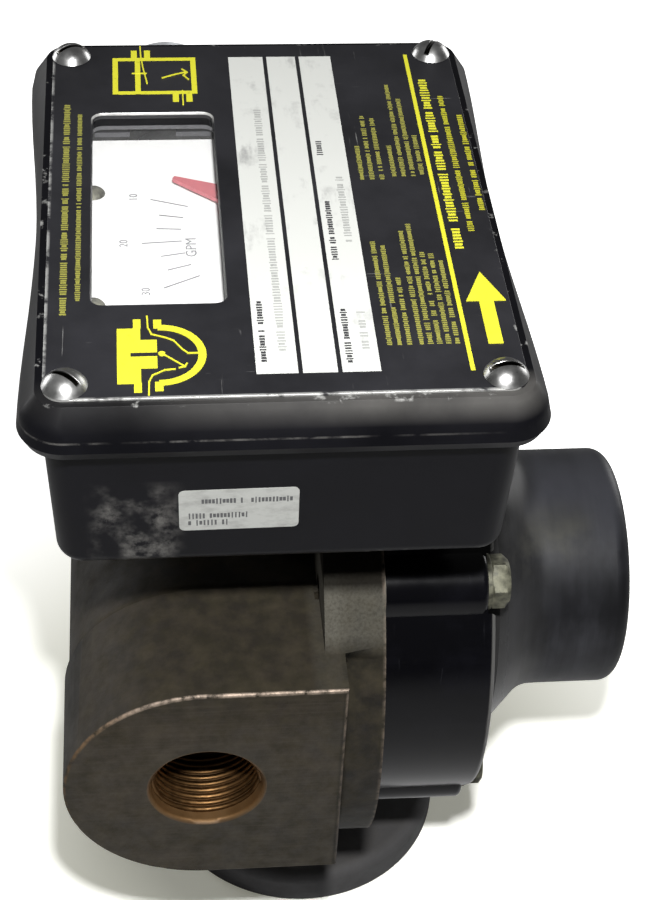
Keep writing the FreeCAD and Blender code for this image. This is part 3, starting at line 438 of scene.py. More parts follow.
def bronze_patina(tints):
    """Cast bronze: brown patina, painted shade and shadow under the box, tool marks on the pad, copper at the port
    and along worn edges.
    """
    f = Finish("bronze_patina")
    x, y, z = f.axes()
    side_x, side_z = f.minus(x, INLET.x), f.minus(z, INLET.z)
    from_port = f.radius(side_x, side_z)
    blotch = f.noise(110, 6, 0.62)
    mottle = f.noise(150, 6, 0.72)
    pits = f.noise(1500, 3, 0.6)
    # Painted shade: the casting darkens towards the box, and its gloss fades with it.
    most_box_shade = 0.55
    box_shade = f.step(side_z, 0, 16, 40, 0, most_box_shade)
    # Painted shadow of the box: what lies right under it is darkened nearly to black and loses most of its gloss.
    under_box_shadow = f.step(side_z, 0, 43.5, 45.5)
    brown = patina_dirt_and_shade(f, tints, patina_tone(f, tints, blotch), mottle, box_shade)
    brown = f.mix(lug_mask(f, pits), brown, scaled(tints.bronze_dust, 1.5))
    brown = f.mix(f.step(z, 0, 14, 10, 0, 0.9), brown, tints.foot)
    brown = f.mix(f.times(under_box_shadow, 0.85), brown, scaled(tints.bronze_dark, 0.1))
    on_pad = f.step(y, PAD_Y, 1.2, 0.2)
    tool_marks = f.ramp(f.streaks((45, 45, 1700), 4, 0.6), 0.5, 0.75, 0.0, 0.3)
    brown = f.mix(f.times(on_pad, tool_marks), brown, scaled(tints.bronze_light, 1.6))
    wear = f.ramp(f.noise(420, 4, 0.6), 0.36, 0.6)
    handled = f.step(side_x, 0, -30, -14)
    rubbed = f.all_of(pad_edges(f, side_x, side_z, from_port), wear, f.blend(handled, 0.45, 0.85))
    bright = f.any_of(rubbed, f.all_of(flange_edge(f, side_z), wear, 0.18))
    worn = f.mix(handled, scaled(tints.copper, 1.5), tints.rubbed)
    inside = f.times(f.step(from_port, PORT_R, 1.3, 0.2), f.step(y, INLET.y, 30, 0))
    cut = f.times(inside, f.ramp(blotch, 0.25, 0.6, 0.45, 1.0))
    gloss = f.times(f.ramp(mottle, 0.32, 0.68, 0.28, 0.08), f.ramp(box_shade, 0.0, most_box_shade, 1.0, 0.3))
    f.set(Base_Color=f.mix(bright, f.mix(cut, brown, tints.copper), worn),
          Metallic=f.times(f.any_of(cut, bright), 0.8), Roughness=f.blend(cut, 0.62, 0.45),
          Specular_IOR_Level=f.times(gloss, f.blend(under_box_shadow, 1.0, 0.1)))
    return f.bump(f.plus(pits, f.times(blotch, 1.5)), 0.28, 0.12 * MM).material


def cut_bronze(tints):
    """Freshly cut bronze of the threads, dull in patches."""
    f = Finish("cut_bronze")
    swirl = f.streaks((500, 500, 500), 4, 0.6)
    dull = f.noise(120, 5, 0.6)
    tone = f.mix(f.ramp(dull, 0.35, 0.68), scaled(tints.copper, 0.35), tints.copper)
    f.set(Base_Color=tone, Metallic=1.0, Roughness=f.ramp(swirl, 0.3, 0.7, 0.38, 0.58))
    return f.bump(swirl, 0.1, 0.05 * MM).material


def satin_tail(f, tints, rings, rub, side_z):
    """Tail of the cap: rings of smears, lighter on top (painted sheen with dust), a darker band just above the axis
    (painted shade) and a handled patch.
    """
    x, y, _ = f.axes()
    smears = f.streaks((130, 60, 60), 4, 0.55)
    streaks = f.ramp(f.plus(f.times(rings, 0.3), f.times(smears, 0.7)), 0.36, 0.66)
    satin = f.mix(streaks, scaled(tints.plastic_worn, 0.3), scaled(tints.plastic_worn, 1.2))
    # Lighter where the tail faces up: painted sheen, with dust.
    satin = f.mix(f.ramp(f.axes("Normal")[2], 0.75, 1.0, 0.0, 0.6), satin, scaled(tints.plastic_worn, 2.0))
    past_cone = f.step(x, CAP_SHOULDER_X, 8, 14)
    # Darker band just above the axis: painted shade.
    shade_band = f.all_of(f.band(side_z, 0, 3, 11, 18, 24), past_cone, f.ramp(smears, 0.3, 0.6, 1.0, 0.6))
    satin = f.mix(shade_band, satin, scaled(tints.plastic_worn, 0.22))
    handled = f.all_of(f.band(side_z, 0, 21, 25, 27.5, 30), f.step(y, 0, 0, -6),
                       f.ramp(rub, 0.42, 0.62), f.step(x, 0, 74, 60))
    return f.mix(f.times(handled, 0.7), satin, tints.cap_handled)


def cap_dust_and_rim_highlight(f, rub, side_z):
    """Dust on the cone, thickest below, and a pale line along the drum's rim, a painted highlight with dust."""
    x, y, _ = f.axes()
    from_shoulder = f.minus(x, CAP_SHOULDER_X)
    on_cone = f.band(from_shoulder, 0, 0.5, 3, 11, 19)
    dusty = f.all_of(on_cone, f.step(side_z, 0, 4, -22, 0.15, 1.0), f.ramp(rub, 0.35, 0.6, 0.6, 1.0))
    outside = f.step(f.radius(y, side_z), FLANGE_R, -12, -11)
    # Pale line along the drum's rim: painted highlight, with dust.
    rim_highlight = f.band(from_shoulder, 0, -1.2, -0.8, 0, 0.3)
    return dusty, f.all_of(rim_highlight, outside, f.ramp(rub, 0.35, 0.5, 0.25, 0.65))


def moulded_black(tints):
    """Cap: glossy drum, satin tail with painted sheen and shade, dust in the neck, and a painted highlight with
    dust along the rim.
    """
    f = Finish("moulded_black")
    x, _, z = f.axes()
    side_z = f.minus(z, INLET.z)
    rings = f.streaks((620, 14, 14), 5, 0.62)
    rub = f.noise(60, 5, 0.6)
    on_tail = f.step(x, CAP_SHOULDER_X, 3, 12)
    gloss = f.mix(f.ramp(rub, 0.5, 0.8), tints.plastic, scaled(tints.plastic, 3.0))
    lines = f.ramp(f.streaks((900, 60, 60), 4, 0.6), 0.62, 0.75)
    gloss = f.mix(f.times(lines, f.ramp(rub, 0.45, 0.6)), gloss, tints.plastic_worn)
    base = f.mix(on_tail, gloss, satin_tail(f, tints, rings, rub, side_z))
    for mask in cap_dust_and_rim_highlight(f, rub, side_z):
        base = f.mix(mask, base, tints.cap_dust_and_highlight)
    rough = f.plus(f.ramp(rub, 0.3, 0.75, 0.14, 0.22), f.times(on_tail, 0.26))
    f.set(Base_Color=base, Roughness=rough, Specular_IOR_Level=0.2)
    return f.bump(f.plus(rings, f.noise(900, 2)), 0.05, 0.1 * MM).material


def box_paint(name, tints, worn):
    """Black box paint with an orange-peel skin; worn(finish, axes) gives the masks of bare metal and of scuffs, and
    on the cover the scuff mask also carries a painted sheen.
    """
    f = Finish(name)
    axes = f.axes()
    haze = f.noise(30, 5, 0.6)
    peel = f.noise(1300, 2, 0.5)
    dark = f.mix(f.ramp(haze, 0.35, 0.68), scaled(tints.paint, 0.7), scaled(tints.paint, 1.3))
    chips, scuffs = worn(f, axes)
    # Scuffs, and on the cover also a painted sheen.
    dark = f.mix(scuffs, dark, tints.paint_scuff_and_sheen)
    f.set(Base_Color=f.mix(chips, dark, tints.bare_metal), Metallic=f.times(chips, 0.5),
          Roughness=f.ramp(haze, 0.3, 0.7, 0.3, 0.44), Specular_IOR_Level=0.12)
    return f.bump(peel, 0.12, 0.06 * MM).material


def cover_wear(f, axes):
    """Masks of the cover: chipped rim and spots; a scraped line and a painted sheen on the front of its skirt."""
    x, y, z = axes
    rub = f.noise(260, 5, 0.65)
    rim = f.step(z, COVER_HIGH.z, -0.5, -0.1)
    lip = f.step(f.off(z, COVER_LOW.z + 4.6 * MM), 0, 0.3, 0.1, 0.0, 0.6)
    spots = f.all_of(f.ramp(f.cells(120), 0.16, 0.10), f.ramp(f.noise(55), 0.62, 0.68))
    chips = f.any_of(f.all_of(rim, f.ramp(rub, 0.60, 0.72), 0.5), f.times(spots, 0.3))
    front = f.step(y, COVER_LOW.y, 12, 8)
    scraped = f.all_of(lip, f.ramp(rub, 0.40, 0.60), f.ramp(f.noise(30), 0.36, 0.5), f.step(x, 0, 30, 5))
    # Painted sheen: a reflection on the skirt's rounded upper front, strongest towards the right.
    painted_sheen = f.all_of(f.step(z, COVER_HIGH.z, -4.4, -1), f.step(x, 0, -45, 0, 0.08, 0.65),
                     f.ramp(f.noise(70), 0.3, 0.6, 0.6, 1.0))
    return chips, f.all_of(front, f.any_of(scraped, painted_sheen))


def base_wear(f, axes):
    """Masks of the base: chipped lower edge; scuffs on the front, left of the label."""
    x, y, z = axes
    rub = f.noise(300, 6, 0.7)
    front = f.step(y, BASE_LOW.y, 6, 3)
    beside = f.all_of(f.step(x, 0, -53, -47), f.step(x, 0, -32, -38), f.step(z, 0, 186, 180))
    clusters = f.ramp(f.noise(130, 3, 0.5), 0.40, 0.56)
    scuffs = f.all_of(front, beside, clusters, f.ramp(rub, 0.38, 0.6))
    edge = f.step(z, BASE_LOW.z, 2.5, 0.5)
    chips = f.all_of(edge, f.ramp(rub, 0.58, 0.68), 0.4)
    return chips, scuffs


def plate_edges(f):
    """Bare metal along the plate's outline: nearly whole in front and at the near left corner, broken elsewhere."""
    x, y, _ = f.axes()
    half = (PLATE_HIGH - PLATE_LOW) / 2
    start, full = 0.7 * MM, 0.2 * MM
    out_x = f.ramp(f.off(x, BOX_X), half.x - start, half.x - full)
    out_y = f.ramp(f.math("ABSOLUTE", y), half.y - start, half.y - full)
    rub = f.noise(230, 5, 0.65)
    near = f.times(out_y, f.step(y, 0, 0, -10))
    left = f.all_of(out_x, f.step(x, BOX_X, 0, -10), f.ramp(rub, 0.42, 0.58))
    round_x, round_y = BOX_X - half.x + PLATE_R, PLATE_R - half.y
    from_round = f.radius(f.minus(x, round_x), f.minus(y, round_y))
    corner = f.all_of(f.ramp(from_round, PLATE_R - start, PLATE_R - full), f.step(x, round_x, 0, -1),
                      f.step(y, round_y, 0, -1))
    front = f.times(f.any_of(near, corner), f.ramp(rub, 0.30, 0.48))
    others = f.times(f.any_of(out_x, out_y), f.ramp(rub, 0.62, 0.7))
    return f.any_of(f.times(front, 0.8), f.times(left, 0.7), f.times(others, 0.6))


def face_black(tints):
    """Printed black plate: scratched, with bare metal along its cut outline."""
    f = Finish("face_black")
    haze = f.noise(40, 5, 0.6)
    black = f.mix(f.ramp(haze, 0.3, 0.7), scaled(tints.plate, 0.7), scaled(tints.plate, 1.5))
    runs = (((1500, 45, 1), 24), ((40, 1700, 1), -31))
    lines = [f.ramp(f.streaks(run, 3, 0.5, turn), 0.68, 0.76) for run, turn in runs]
    scratches = f.times(f.any_of(*lines), f.ramp(f.noise(70, 3), 0.56, 0.66))
    bare = f.any_of(plate_edges(f), f.times(scratches, 0.5))
    f.set(Base_Color=f.mix(bare, black, tints.bare_metal), Metallic=f.times(bare, 0.7),
          Roughness=f.ramp(haze, 0.3, 0.7, 0.34, 0.46), Specular_IOR_Level=0.3)
    return f.bump(f.noise(1500, 2), 0.06, 0.05 * MM).material


def pale_field(tints):
    """Silvery fields of the face, smudged and rubbed."""
    f = Finish("pale_field")
    smudge = f.noise(80, 6, 0.66)
    rubbed = f.streaks((420, 110, 100), 5, 0.62)
    stain = f.all_of(f.ramp(smudge, 0.50, 0.68), f.ramp(rubbed, 0.46, 0.62))
    f.set(Base_Color=f.mix(f.times(stain, 0.8), tints.field, tints.field_stain),
          Metallic=0.0, Roughness=f.ramp(smudge, 0.3, 0.7, 0.35, 0.55))
    return f.bump(rubbed, 0.05, 0.05 * MM).material


def printed(name, tint):
    """Printing ink, worn thin in places."""
    f = Finish(name)
    worn = f.ramp(f.noise(900, 5, 0.6), 0.60, 0.76)
    f.set(Base_Color=f.mix(f.times(worn, 0.6), tint, scaled(tint, 0.3)),
          Roughness=f.ramp(f.noise(300), 0.3, 0.7, 0.38, 0.55))
    return f.material


def window_edge(tints):
    """Bevel round the window: bright bare metal on the far side as a painted highlight, rubbed bare spots
    elsewhere, black otherwise.
    """
    f = Finish("window_edge")
    _, y, z = f.axes()
    rub = f.noise(300, 5, 0.6)
    # The far side is painted bright as bare metal: a painted highlight.
    far = f.step(y, GASKET_HIGH.y, -8, -5)
    upper = f.step(z, FACE_Z, -0.55, -0.45)
    bare = f.any_of(f.times(far, f.ramp(rub, 0.3, 0.5, 0.5, 1.0)), f.ramp(rub, 0.6, 0.68, 0.0, 0.5))
    bare = f.times(upper, bare)
    f.set(Base_Color=f.mix(bare, tints.plate, tints.bare_metal), Metallic=f.times(bare, 0.6),
          Roughness=f.ramp(rub, 0.3, 0.7, 0.3, 0.45))
    return f.material


def plated(name, tint, rough, scratch, metallic=1.0, dull=0.55, grain=210, dirt=None, grime=None):
    """Plated metal with fine scratches and dull patches, and with grime where dirt(finish) says."""
    f = Finish(name)
    lines = f.streaks((1400, 160, 160), 4, 0.6, 35)
    patch = f.noise(grain, 5, 0.6)
    tone = f.mix(f.ramp(patch, 0.36, 0.7), scaled(tint, dull), tint)
    if dirt:
        tone = f.mix(dirt(f), tone, grime)
    f.set(Base_Color=tone, Metallic=metallic, Roughness=f.ramp(patch, 0.3, 0.7, *rough))
    return f.bump(lines, scratch, 0.05 * MM).material


def slot_dirt(f):
    """Mask of what lies below the round of the cover screws' heads: their slots."""
    x, y, z = f.axes()
    half = (SCREWS_HIGH - SCREWS_LOW) / 2
    from_screw = f.radius(f.minus(f.off(x, BOX_X), half.x - SCREW_HEAD_R),
                          f.minus(f.math("ABSOLUTE", y), half.y - SCREW_HEAD_R))
    rise = f.math("SQRT", f.minus(SCREW_BALL ** 2, f.math("POWER", from_screw, 2.0)))
    dome = f.plus(rise, FACE_Z + SCREW_HEAD_H - SCREW_BALL)
    return f.step(f.minus(dome, z), 0, 0.12, 0.5)


def clear_pane():
    """Clear pane with faint smears."""
    f = Finish("clear_pane")
    smear = f.noise(60, 5, 0.6)
    f.set(Base_Color=(0.9, 0.9, 0.9), Roughness=f.ramp(smear, 0.3, 0.7, 0.04, 0.16),
          Alpha=f.ramp(smear, 0.35, 0.75, 0.03, 0.07))
    return f.material


def paper(tints):
    """Paper label with dirt worked into it."""
    f = Finish("label_paper")
    fibres = f.noise(1800, 4, 0.7)
    dirt = f.streaks((190, 190, 420), 6, 0.65)
    f.set(Base_Color=f.mix(f.ramp(dirt, 0.46, 0.72, 0.0, 0.65), tints.paper, tints.paper_dirt),
          Roughness=f.ramp(fibres, 0.3, 0.7, 0.6, 0.8))
    return f.bump(fibres, 0.2, 0.05 * MM).material


def slot_finishes(tints):
    """One finish for each of the record's material slots."""
    return {
        "bronze": bronze_patina(tints),
        "cut_bronze": cut_bronze(tints),
        "black_plastic": moulded_black(tints),
        "black_paint": box_paint("cover_paint", tints, cover_wear),
        "face_print": face_black(tints),
        "zinc": plated("zinc_plate", (0.185, 0.182, 0.130), (0.5, 0.7), 0.5, 0.5, 0.2, 420),
        "chrome": plated("bright_plate", (0.62, 0.62, 0.61), (0.24, 0.42), 0.12, dirt=slot_dirt, grime=tints.grime),
        "steel": plated("ground_steel", (0.50, 0.50, 0.50), (0.25, 0.4), 0.15),
        "spring_steel": plated("spring_wire", (0.30, 0.30, 0.31), (0.3, 0.45), 0.1),
        "brass": plated("turned_brass", (0.68, 0.49, 0.22), (0.24, 0.4), 0.12),
        "aluminium": plated("cast_aluminium", (0.72, 0.74, 0.77), (0.4, 0.6), 0.25, 0.2),
        "rubber": speckled("black_rubber", (0.012, 0.012, 0.012), (0.030, 0.030, 0.030), 700.0, (0.6, 0.8)),
        "fibre": speckled("pressed_fibre", (0.05, 0.045, 0.035), (0.12, 0.105, 0.08), 900.0, (0.7, 0.85), 0.0, 0.2),
        "phenolic": speckled("phenolic", (0.020, 0.012, 0.008), (0.050, 0.028, 0.018), 600.0, (0.35, 0.5)),
        "dial_white": speckled("dial_white", scaled(tints.dial, 0.95), tints.dial, 500.0, (0.45, 0.6), 0.0, 0.02),
        "pointer_red": speckled("pointer_red", scaled(tints.pointer, 0.75), tints.pointer, 700.0, (0.4, 0.55)),
        "clear": clear_pane(),
    }


FINISHES = {}


def finish_of(slot):
    """The finish of a material slot; all are made at the first call."""
    if not FINISHES:
        FINISHES.update(slot_finishes(bpy.context.scene.flow_finishes))
    return FINISHES[slot]


# Meshes and pieces

def evaluated_mesh(helper):
    """A plain mesh of a helper with its modifiers or curve settings worked in; the helper is removed."""
    graph = bpy.context.evaluated_depsgraph_get()
    graph.update()
    mesh = bpy.data.meshes.new_from_object(helper.evaluated_get(graph), depsgraph=graph)
    bpy.data.objects.remove(helper)
    return mesh


def turned(place, degrees, axis):
    """A turn about an axis, then a move to a place."""
    return Matrix.Translation(place) @ Matrix.Rotation(math.radians(degrees), 4, axis)


def soften(shape, width, segments=1):
    """Bevels the sharp edges of a shape."""
    bevel = shape.modifiers.new("soften", "BEVEL")
    bevel.width = width
    bevel.segments = segments
    bevel.limit_method = "ANGLE"
    bevel.angle_limit = SHARP


def helper_object(name, data):
    """An object of the scene, at the origin."""
    made = bpy.data.objects.new(name, data)
    bpy.context.scene.collection.objects.link(made)
    return made


def place_piece(name, mesh, material=None, body=HOUSING, smooth=True):
    """Puts a finished mesh in the scene as a piece that rides on a body; a grown mesh has its material already."""
    if smooth:
        mesh.shade_smooth()
        mesh.set_sharp_from_angle(angle=SHARP)
    if material:
        mesh.materials.append(material)
    mesh.name = name
    piece = helper_object(name, mesh)
    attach(piece, body)
    return piece


def dressed(node, material, round_off=0.0, reshape=None):
    """A merged copy of a CAD node with softened edges, standing for that node."""
    mesh = frame["nodes"][node].data.copy()
    work = bmesh.new()
    work.from_mesh(mesh)
    bmesh.ops.remove_doubles(work, verts=work.verts, dist=MERGE)
    bmesh.ops.dissolve_limit(work, angle_limit=FLAT, verts=work.verts, edges=work.edges)
    if reshape:
        reshape(work)
    work.to_mesh(mesh)
    work.free()
    shape = helper_object(node + "_shape", mesh)
    mesh.shade_smooth()
    mesh.set_sharp_from_angle(angle=SHARP)
    if round_off:
        soften(shape, round_off, 2)
    even = shape.modifiers.new("even", "WEIGHTED_NORMAL")
    even.keep_sharp = True
    done = evaluated_mesh(shape)
    done.materials.clear()
    done.materials.append(material)
    done.name = node + "_dressed"
    piece = helper_object(node + "_dressed", done)
    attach(piece, BODY_OF[node])
    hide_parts(node)
    return piece


def paint_node(node, material):
    """Gives a CAD node, as it stands, a finish."""
    for slot in frame["nodes"][node].material_slots:
        slot.link = "OBJECT"
        slot.material = material


def mesh_of(work, name):
    """Ends a mesh in the making, its faces turned outwards."""
    mesh = bpy.data.meshes.new(name)
    bmesh.ops.recalc_face_normals(work, faces=work.faces)
    work.to_mesh(mesh)
    work.free()
    return mesh


def skin(work, rings, closed=False):
    """Faces from ring to ring of points; a ring may be a single point."""
    sides = max(map(len, rings))
    for low, high in zip(rings, rings[1:] + (rings[:1] if closed else [])):
        for i in range(sides):
            j = (i + 1) % sides
            points = [low[i % len(low)], low[j % len(low)], high[j % len(high)], high[i % len(high)]]
            work.faces.new(list(dict.fromkeys(points)))


def slab(work, outline, low, high):
    """A flat plate with the given outline of (x, y) points between two heights."""
    floor = [work.verts.new((x, y, low)) for x, y in outline]
    top = [work.verts.new((x, y, high)) for x, y in outline]
    work.faces.new(list(reversed(floor)))
    work.faces.new(top)
    skin(work, [floor, top])


def stripe(work, a, b, width, low, high):
    """A straight printed line from a to b, a little longer than its run so that joints close."""
    along = (Vector(b) - Vector(a)).normalized() * width / 2
    side = Vector((-along.y, along.x))
    reach = min(along.length, 0.25 * (Vector(b) - Vector(a)).length) / along.length
    a, b = Vector(a) - along * reach, Vector(b) + along * reach
    slab(work, [a - side, b - side, b + side, a + side], low, high)


def rectangle(x0, x1, y0, y1):
    """Corners of an upright rectangle, in order."""
    return [(x0, y0), (x1, y0), (x1, y1), (x0, y1)]


def rounded_outline(low, high, radius, steps=6):
    """Points round a rectangle with round corners, in order."""
    centres = ((high.x - radius, high.y - radius, 0), (low.x + radius, high.y - radius, 90),
               (low.x + radius, low.y + radius, 180), (high.x - radius, low.y + radius, 270))
    points = []
    for cx, cy, start in centres:
        for i in range(steps + 1):
            a = math.radians(start + 90 * i / steps)
            points.append((cx + radius * math.cos(a), cy + radius * math.sin(a)))
    return points


def revolve(profile, segments, name, ring=False):
    """A closed mesh turned about Z from (radius, height) points, which end on the axis or close in a ring."""
    work = bmesh.new()
    turns = [2 * math.pi * i / segments for i in range(segments)]
    rings = []
    for r, h in profile:
        points = [(r * math.cos(a), r * math.sin(a), h) for a in turns] if r else [(0, 0, h)]
        rings.append([work.verts.new(at) for at in points])
    skin(work, rings, ring)
    return mesh_of(work, name)


class Growth(Tree):
    """A geometry node tree with named inputs, grown into a plain mesh."""

    def __init__(self, name):
        super().__init__(bpy.data.node_groups.new(name, "GeometryNodeTree"))
        self.tree.interface.new_socket(name="Geometry", in_out="OUTPUT", socket_type="NodeSocketGeometry")
        self.source = self.tree.nodes.new("NodeGroupInput")
        self.values = {}

    def input(self, name, kind, value):
        item = self.tree.interface.new_socket(name=name, in_out="INPUT", socket_type="NodeSocket" + kind)
        self.values[item.identifier] = value
        return next(s for s in self.source.outputs if s.identifier == item.identifier)

    def inputs(self, **values):
        """Named numbers as inputs of the tree."""
        return [self.input(key.replace("_", " "), "Float", value) for key, value in values.items()]

    def vector(self, **parts):
        return self.node("ShaderNodeCombineXYZ", **parts).outputs[0]

    def random(self, low, high, seed):
        """A number drawn for each copy."""
        made = self.node("FunctionNodeRandomValue", {"data_type": "FLOAT"}, Seed=seed)
        made.inputs[2].default_value = low
        made.inputs[3].default_value = high
        return made.outputs[1]

    def grow(self, geometry, material):
        """Ends the tree, runs it once and returns the mesh."""
        paint = self.input("Material", "Material", material)
        real = self.node("GeometryNodeRealizeInstances", Geometry=geometry)
        named = self.node("GeometryNodeSetMaterial", Geometry=real.outputs["Geometry"], Material=paint)
        self.node("NodeGroupOutput", Geometry=named.outputs["Geometry"])
        name = self.tree.name
        holder = helper_object(name, bpy.data.meshes.new(name))
        modifier = holder.modifiers.new(name, "NODES")
        modifier.node_group = self.tree
        for identifier, value in self.values.items():
            modifier[identifier] = value
        return evaluated_mesh(holder)


def spiral_mesh(name, radius, section, run, turns, place, material, sides=4):
    """A wire or ridge wound along +Z on a cylinder, its section a regular polygon, moved into place."""
    g = Growth(name)
    coil, thick, reach, winds = g.inputs(Coil_radius=radius, Section_radius=section, Length=run, Turns=turns)
    spiral = g.node("GeometryNodeCurveSpiral", Resolution=40, Rotations=winds, Start_Radius=coil, End_Radius=coil,
                    Height=reach)
    profile = g.node("GeometryNodeCurvePrimitiveCircle", Resolution=sides, Radius=thick)
    tube = g.node("GeometryNodeCurveToMesh", Curve=spiral.outputs["Curve"],
                  Profile_Curve=profile.outputs["Curve"], Fill_Caps=True)
    mesh = g.grow(tube.outputs["Mesh"], material)
    mesh.transform(place)
    return mesh


def cut_thread(name, radius, place, material):
    """Ridges of a pipe thread on the wall of a bore that goes up from its mouth."""
    sizes = bpy.context.scene.flow_sizes
    run = sizes.thread_length
    mesh = spiral_mesh(name, radius, sizes.thread_depth, run, run / sizes.thread_pitch, place, material)
    place_piece(name, mesh, smooth=False)


def instances_mesh(name, stamp, columns, rows, spread, turns, place, material):
    """Copies of a stamp mesh on a grid of points, each turned by its own angle."""
    helper = helper_object(name + "_stamp", stamp)
    g = Growth(name)
    item = g.input("Stamp", "Object", helper)
    wide, deep = g.inputs(Spread_X=spread[0], Spread_Y=spread[1])
    grid = g.node("GeometryNodeMeshGrid", Size_X=wide, Size_Y=deep, Vertices_X=columns, Vertices_Y=rows)
    index = g.node("GeometryNodeInputIndex").outputs[0]
    pick = g.node("GeometryNodeIndexSwitch", {"data_type": "FLOAT"}, Index=index)
    while len(pick.index_switch_items) < len(turns):
        pick.index_switch_items.new()
    for i, degrees in enumerate(turns):
        pick.inputs[i + 1].default_value = math.radians(degrees)
    shape = g.node("GeometryNodeObjectInfo", Object=item)
    copies = g.node("GeometryNodeInstanceOnPoints", Points=grid.outputs["Mesh"],
                    Instance=shape.outputs["Geometry"], Rotation=g.vector(Z=pick.outputs[0]))
    mesh = g.grow(copies.outputs["Instances"], material)
    bpy.data.objects.remove(helper)
    mesh.transform(place)
    return mesh


def print_rows(name, rows, tall, pitch, seed, ground, material):
    """Rows of small illegible print: bars of uneven width set along lines of (x, y start, y end) in mm."""
    sizes = bpy.context.scene.flow_sizes
    lines = bmesh.new()
    for x, start, end in rows:
        lines.edges.new([lines.verts.new((x * MM, y * MM, 0)) for y in (start, end)])
    paths = bpy.data.meshes.new(name + "_lines")
    lines.to_mesh(paths)
    lines.free()
    helper = helper_object(name + "_lines", paths)
    g = Growth(name)
    item = g.input("Lines", "Object", helper)
    height, step, lift = g.inputs(Letter_height=tall, Letter_pitch=pitch, Print_thickness=sizes.print_lift)
    seed_in = g.input("Seed", "Int", seed)
    shape = g.node("GeometryNodeObjectInfo", Object=item)
    curve = g.node("GeometryNodeMeshToCurve", Mesh=shape.outputs["Geometry"])
    spots = g.node("GeometryNodeResampleCurve", {"mode": "LENGTH"}, Curve=curve.outputs["Curve"], Length=step)
    bar = g.node("GeometryNodeMeshCube", Size=g.vector(X=height, Y=step, Z=lift))
    share, widths, heights = 0.9, (0.35, 0.85), (1.0, 0.6)
    kept = g.node("FunctionNodeRandomValue", {"data_type": "BOOLEAN"}, Seed=seed_in, Probability=share)
    wide = g.random(*widths, seed_in)
    high = g.random(*heights, seed_in)
    copies = g.node("GeometryNodeInstanceOnPoints", Points=spots.outputs["Curve"], Selection=kept.outputs[3],
                    Instance=bar.outputs["Mesh"], Scale=g.vector(X=high, Y=wide, Z=1.0))
    mesh = g.grow(copies.outputs["Instances"], material)
    bpy.data.objects.remove(helper)
    mesh.transform(ground @ Matrix.Translation((0, 0, sizes.print_lift / 2)))
    return mesh


def tick_fan(name, inner, outer, first, last, marks, every, material):
    """Dial marks on an arc about the spindle; each one at a step of every is drawn longer."""
    sizes = bpy.context.scene.flow_sizes
    g = Growth(name)
    between = math.radians((last - first) / (marks - 1))
    width, start, step = g.inputs(Tick_width=sizes.tick_width, First_angle=math.radians(first), Step=between)
    short = 0.62
    index = g.node("GeometryNodeInputIndex").outputs[0]
    swing = g.math("MULTIPLY_ADD", index, step, start)
    longer = g.math("LESS_THAN", g.math("MODULO", index, every), 0.5)
    reach = g.node("ShaderNodeMapRange", Value=longer, To_Min=short * (outer - inner), To_Max=outer - inner)
    bar = g.node("GeometryNodeMeshCube", Size=g.vector(X=1.0, Y=width, Z=sizes.print_lift))
    slide = g.node("GeometryNodeTransform", Geometry=bar.outputs["Mesh"], Translation=(0.5, 0, 0))
    place = g.vector(X=g.math("MULTIPLY", g.math("COSINE", swing), inner),
                     Y=g.math("MULTIPLY", g.math("SINE", swing), inner))
    line = g.node("GeometryNodeMeshLine", Count=marks)
    spots = g.node("GeometryNodeSetPosition", Geometry=line.outputs["Mesh"], Position=place)
    copies = g.node("GeometryNodeInstanceOnPoints", Points=spots.outputs["Geometry"],
                    Instance=slide.outputs["Geometry"], Rotation=g.vector(Z=swing),
                    Scale=g.vector(X=reach.outputs[0], Y=1.0, Z=1.0))
    mesh = g.grow(copies.outputs["Instances"], material)
    mesh.transform(Matrix.Translation((0, 0, DIAL_Z + sizes.print_lift / 2)))
    return mesh


def lettering(work, text, size, place, degrees):
    """Adds a flat word, centred on a place and turned about Z, to a mesh in the making."""
    curve = bpy.data.curves.new("word", "FONT")
    curve.body = text
    curve.size = size
    curve.align_x = "CENTER"
    curve.align_y = "CENTER"
    curve.resolution_u = 3
    curve.extrude = bpy.context.scene.flow_sizes.print_lift / 2
    word = helper_object("word", curve)
    mesh = evaluated_mesh(word)
    mesh.transform(turned(place, degrees, "Z"))
    work.from_mesh(mesh)
    bpy.data.meshes.remove(mesh)


# Operators

class FLOW_OT_casting(bpy.types.Operator):
    """Dresses the bronze casting and cuts the threads of its ports"""
    bl_idname = "flow.casting"
    bl_label = "Casting"

    INLET_LEAD = 2.2 * MM
    OUTLET_LEAD = 1.5 * MM

    def execute(self, context):
        dressed("meter_body", finish_of("bronze"))
        mouth = Vector((INLET.x, PAD_Y + self.INLET_LEAD, INLET.z))
        inward = turned(mouth, -90, "X")
        upward = Matrix.Translation(OUTLET + Vector((0, 0, self.OUTLET_LEAD)))
        cut_thread("inlet_thread", PORT_R, inward, finish_of("cut_bronze"))
        cut_thread("outlet_thread", PORT_R, upward, finish_of("cut_bronze"))
        return {"FINISHED"}


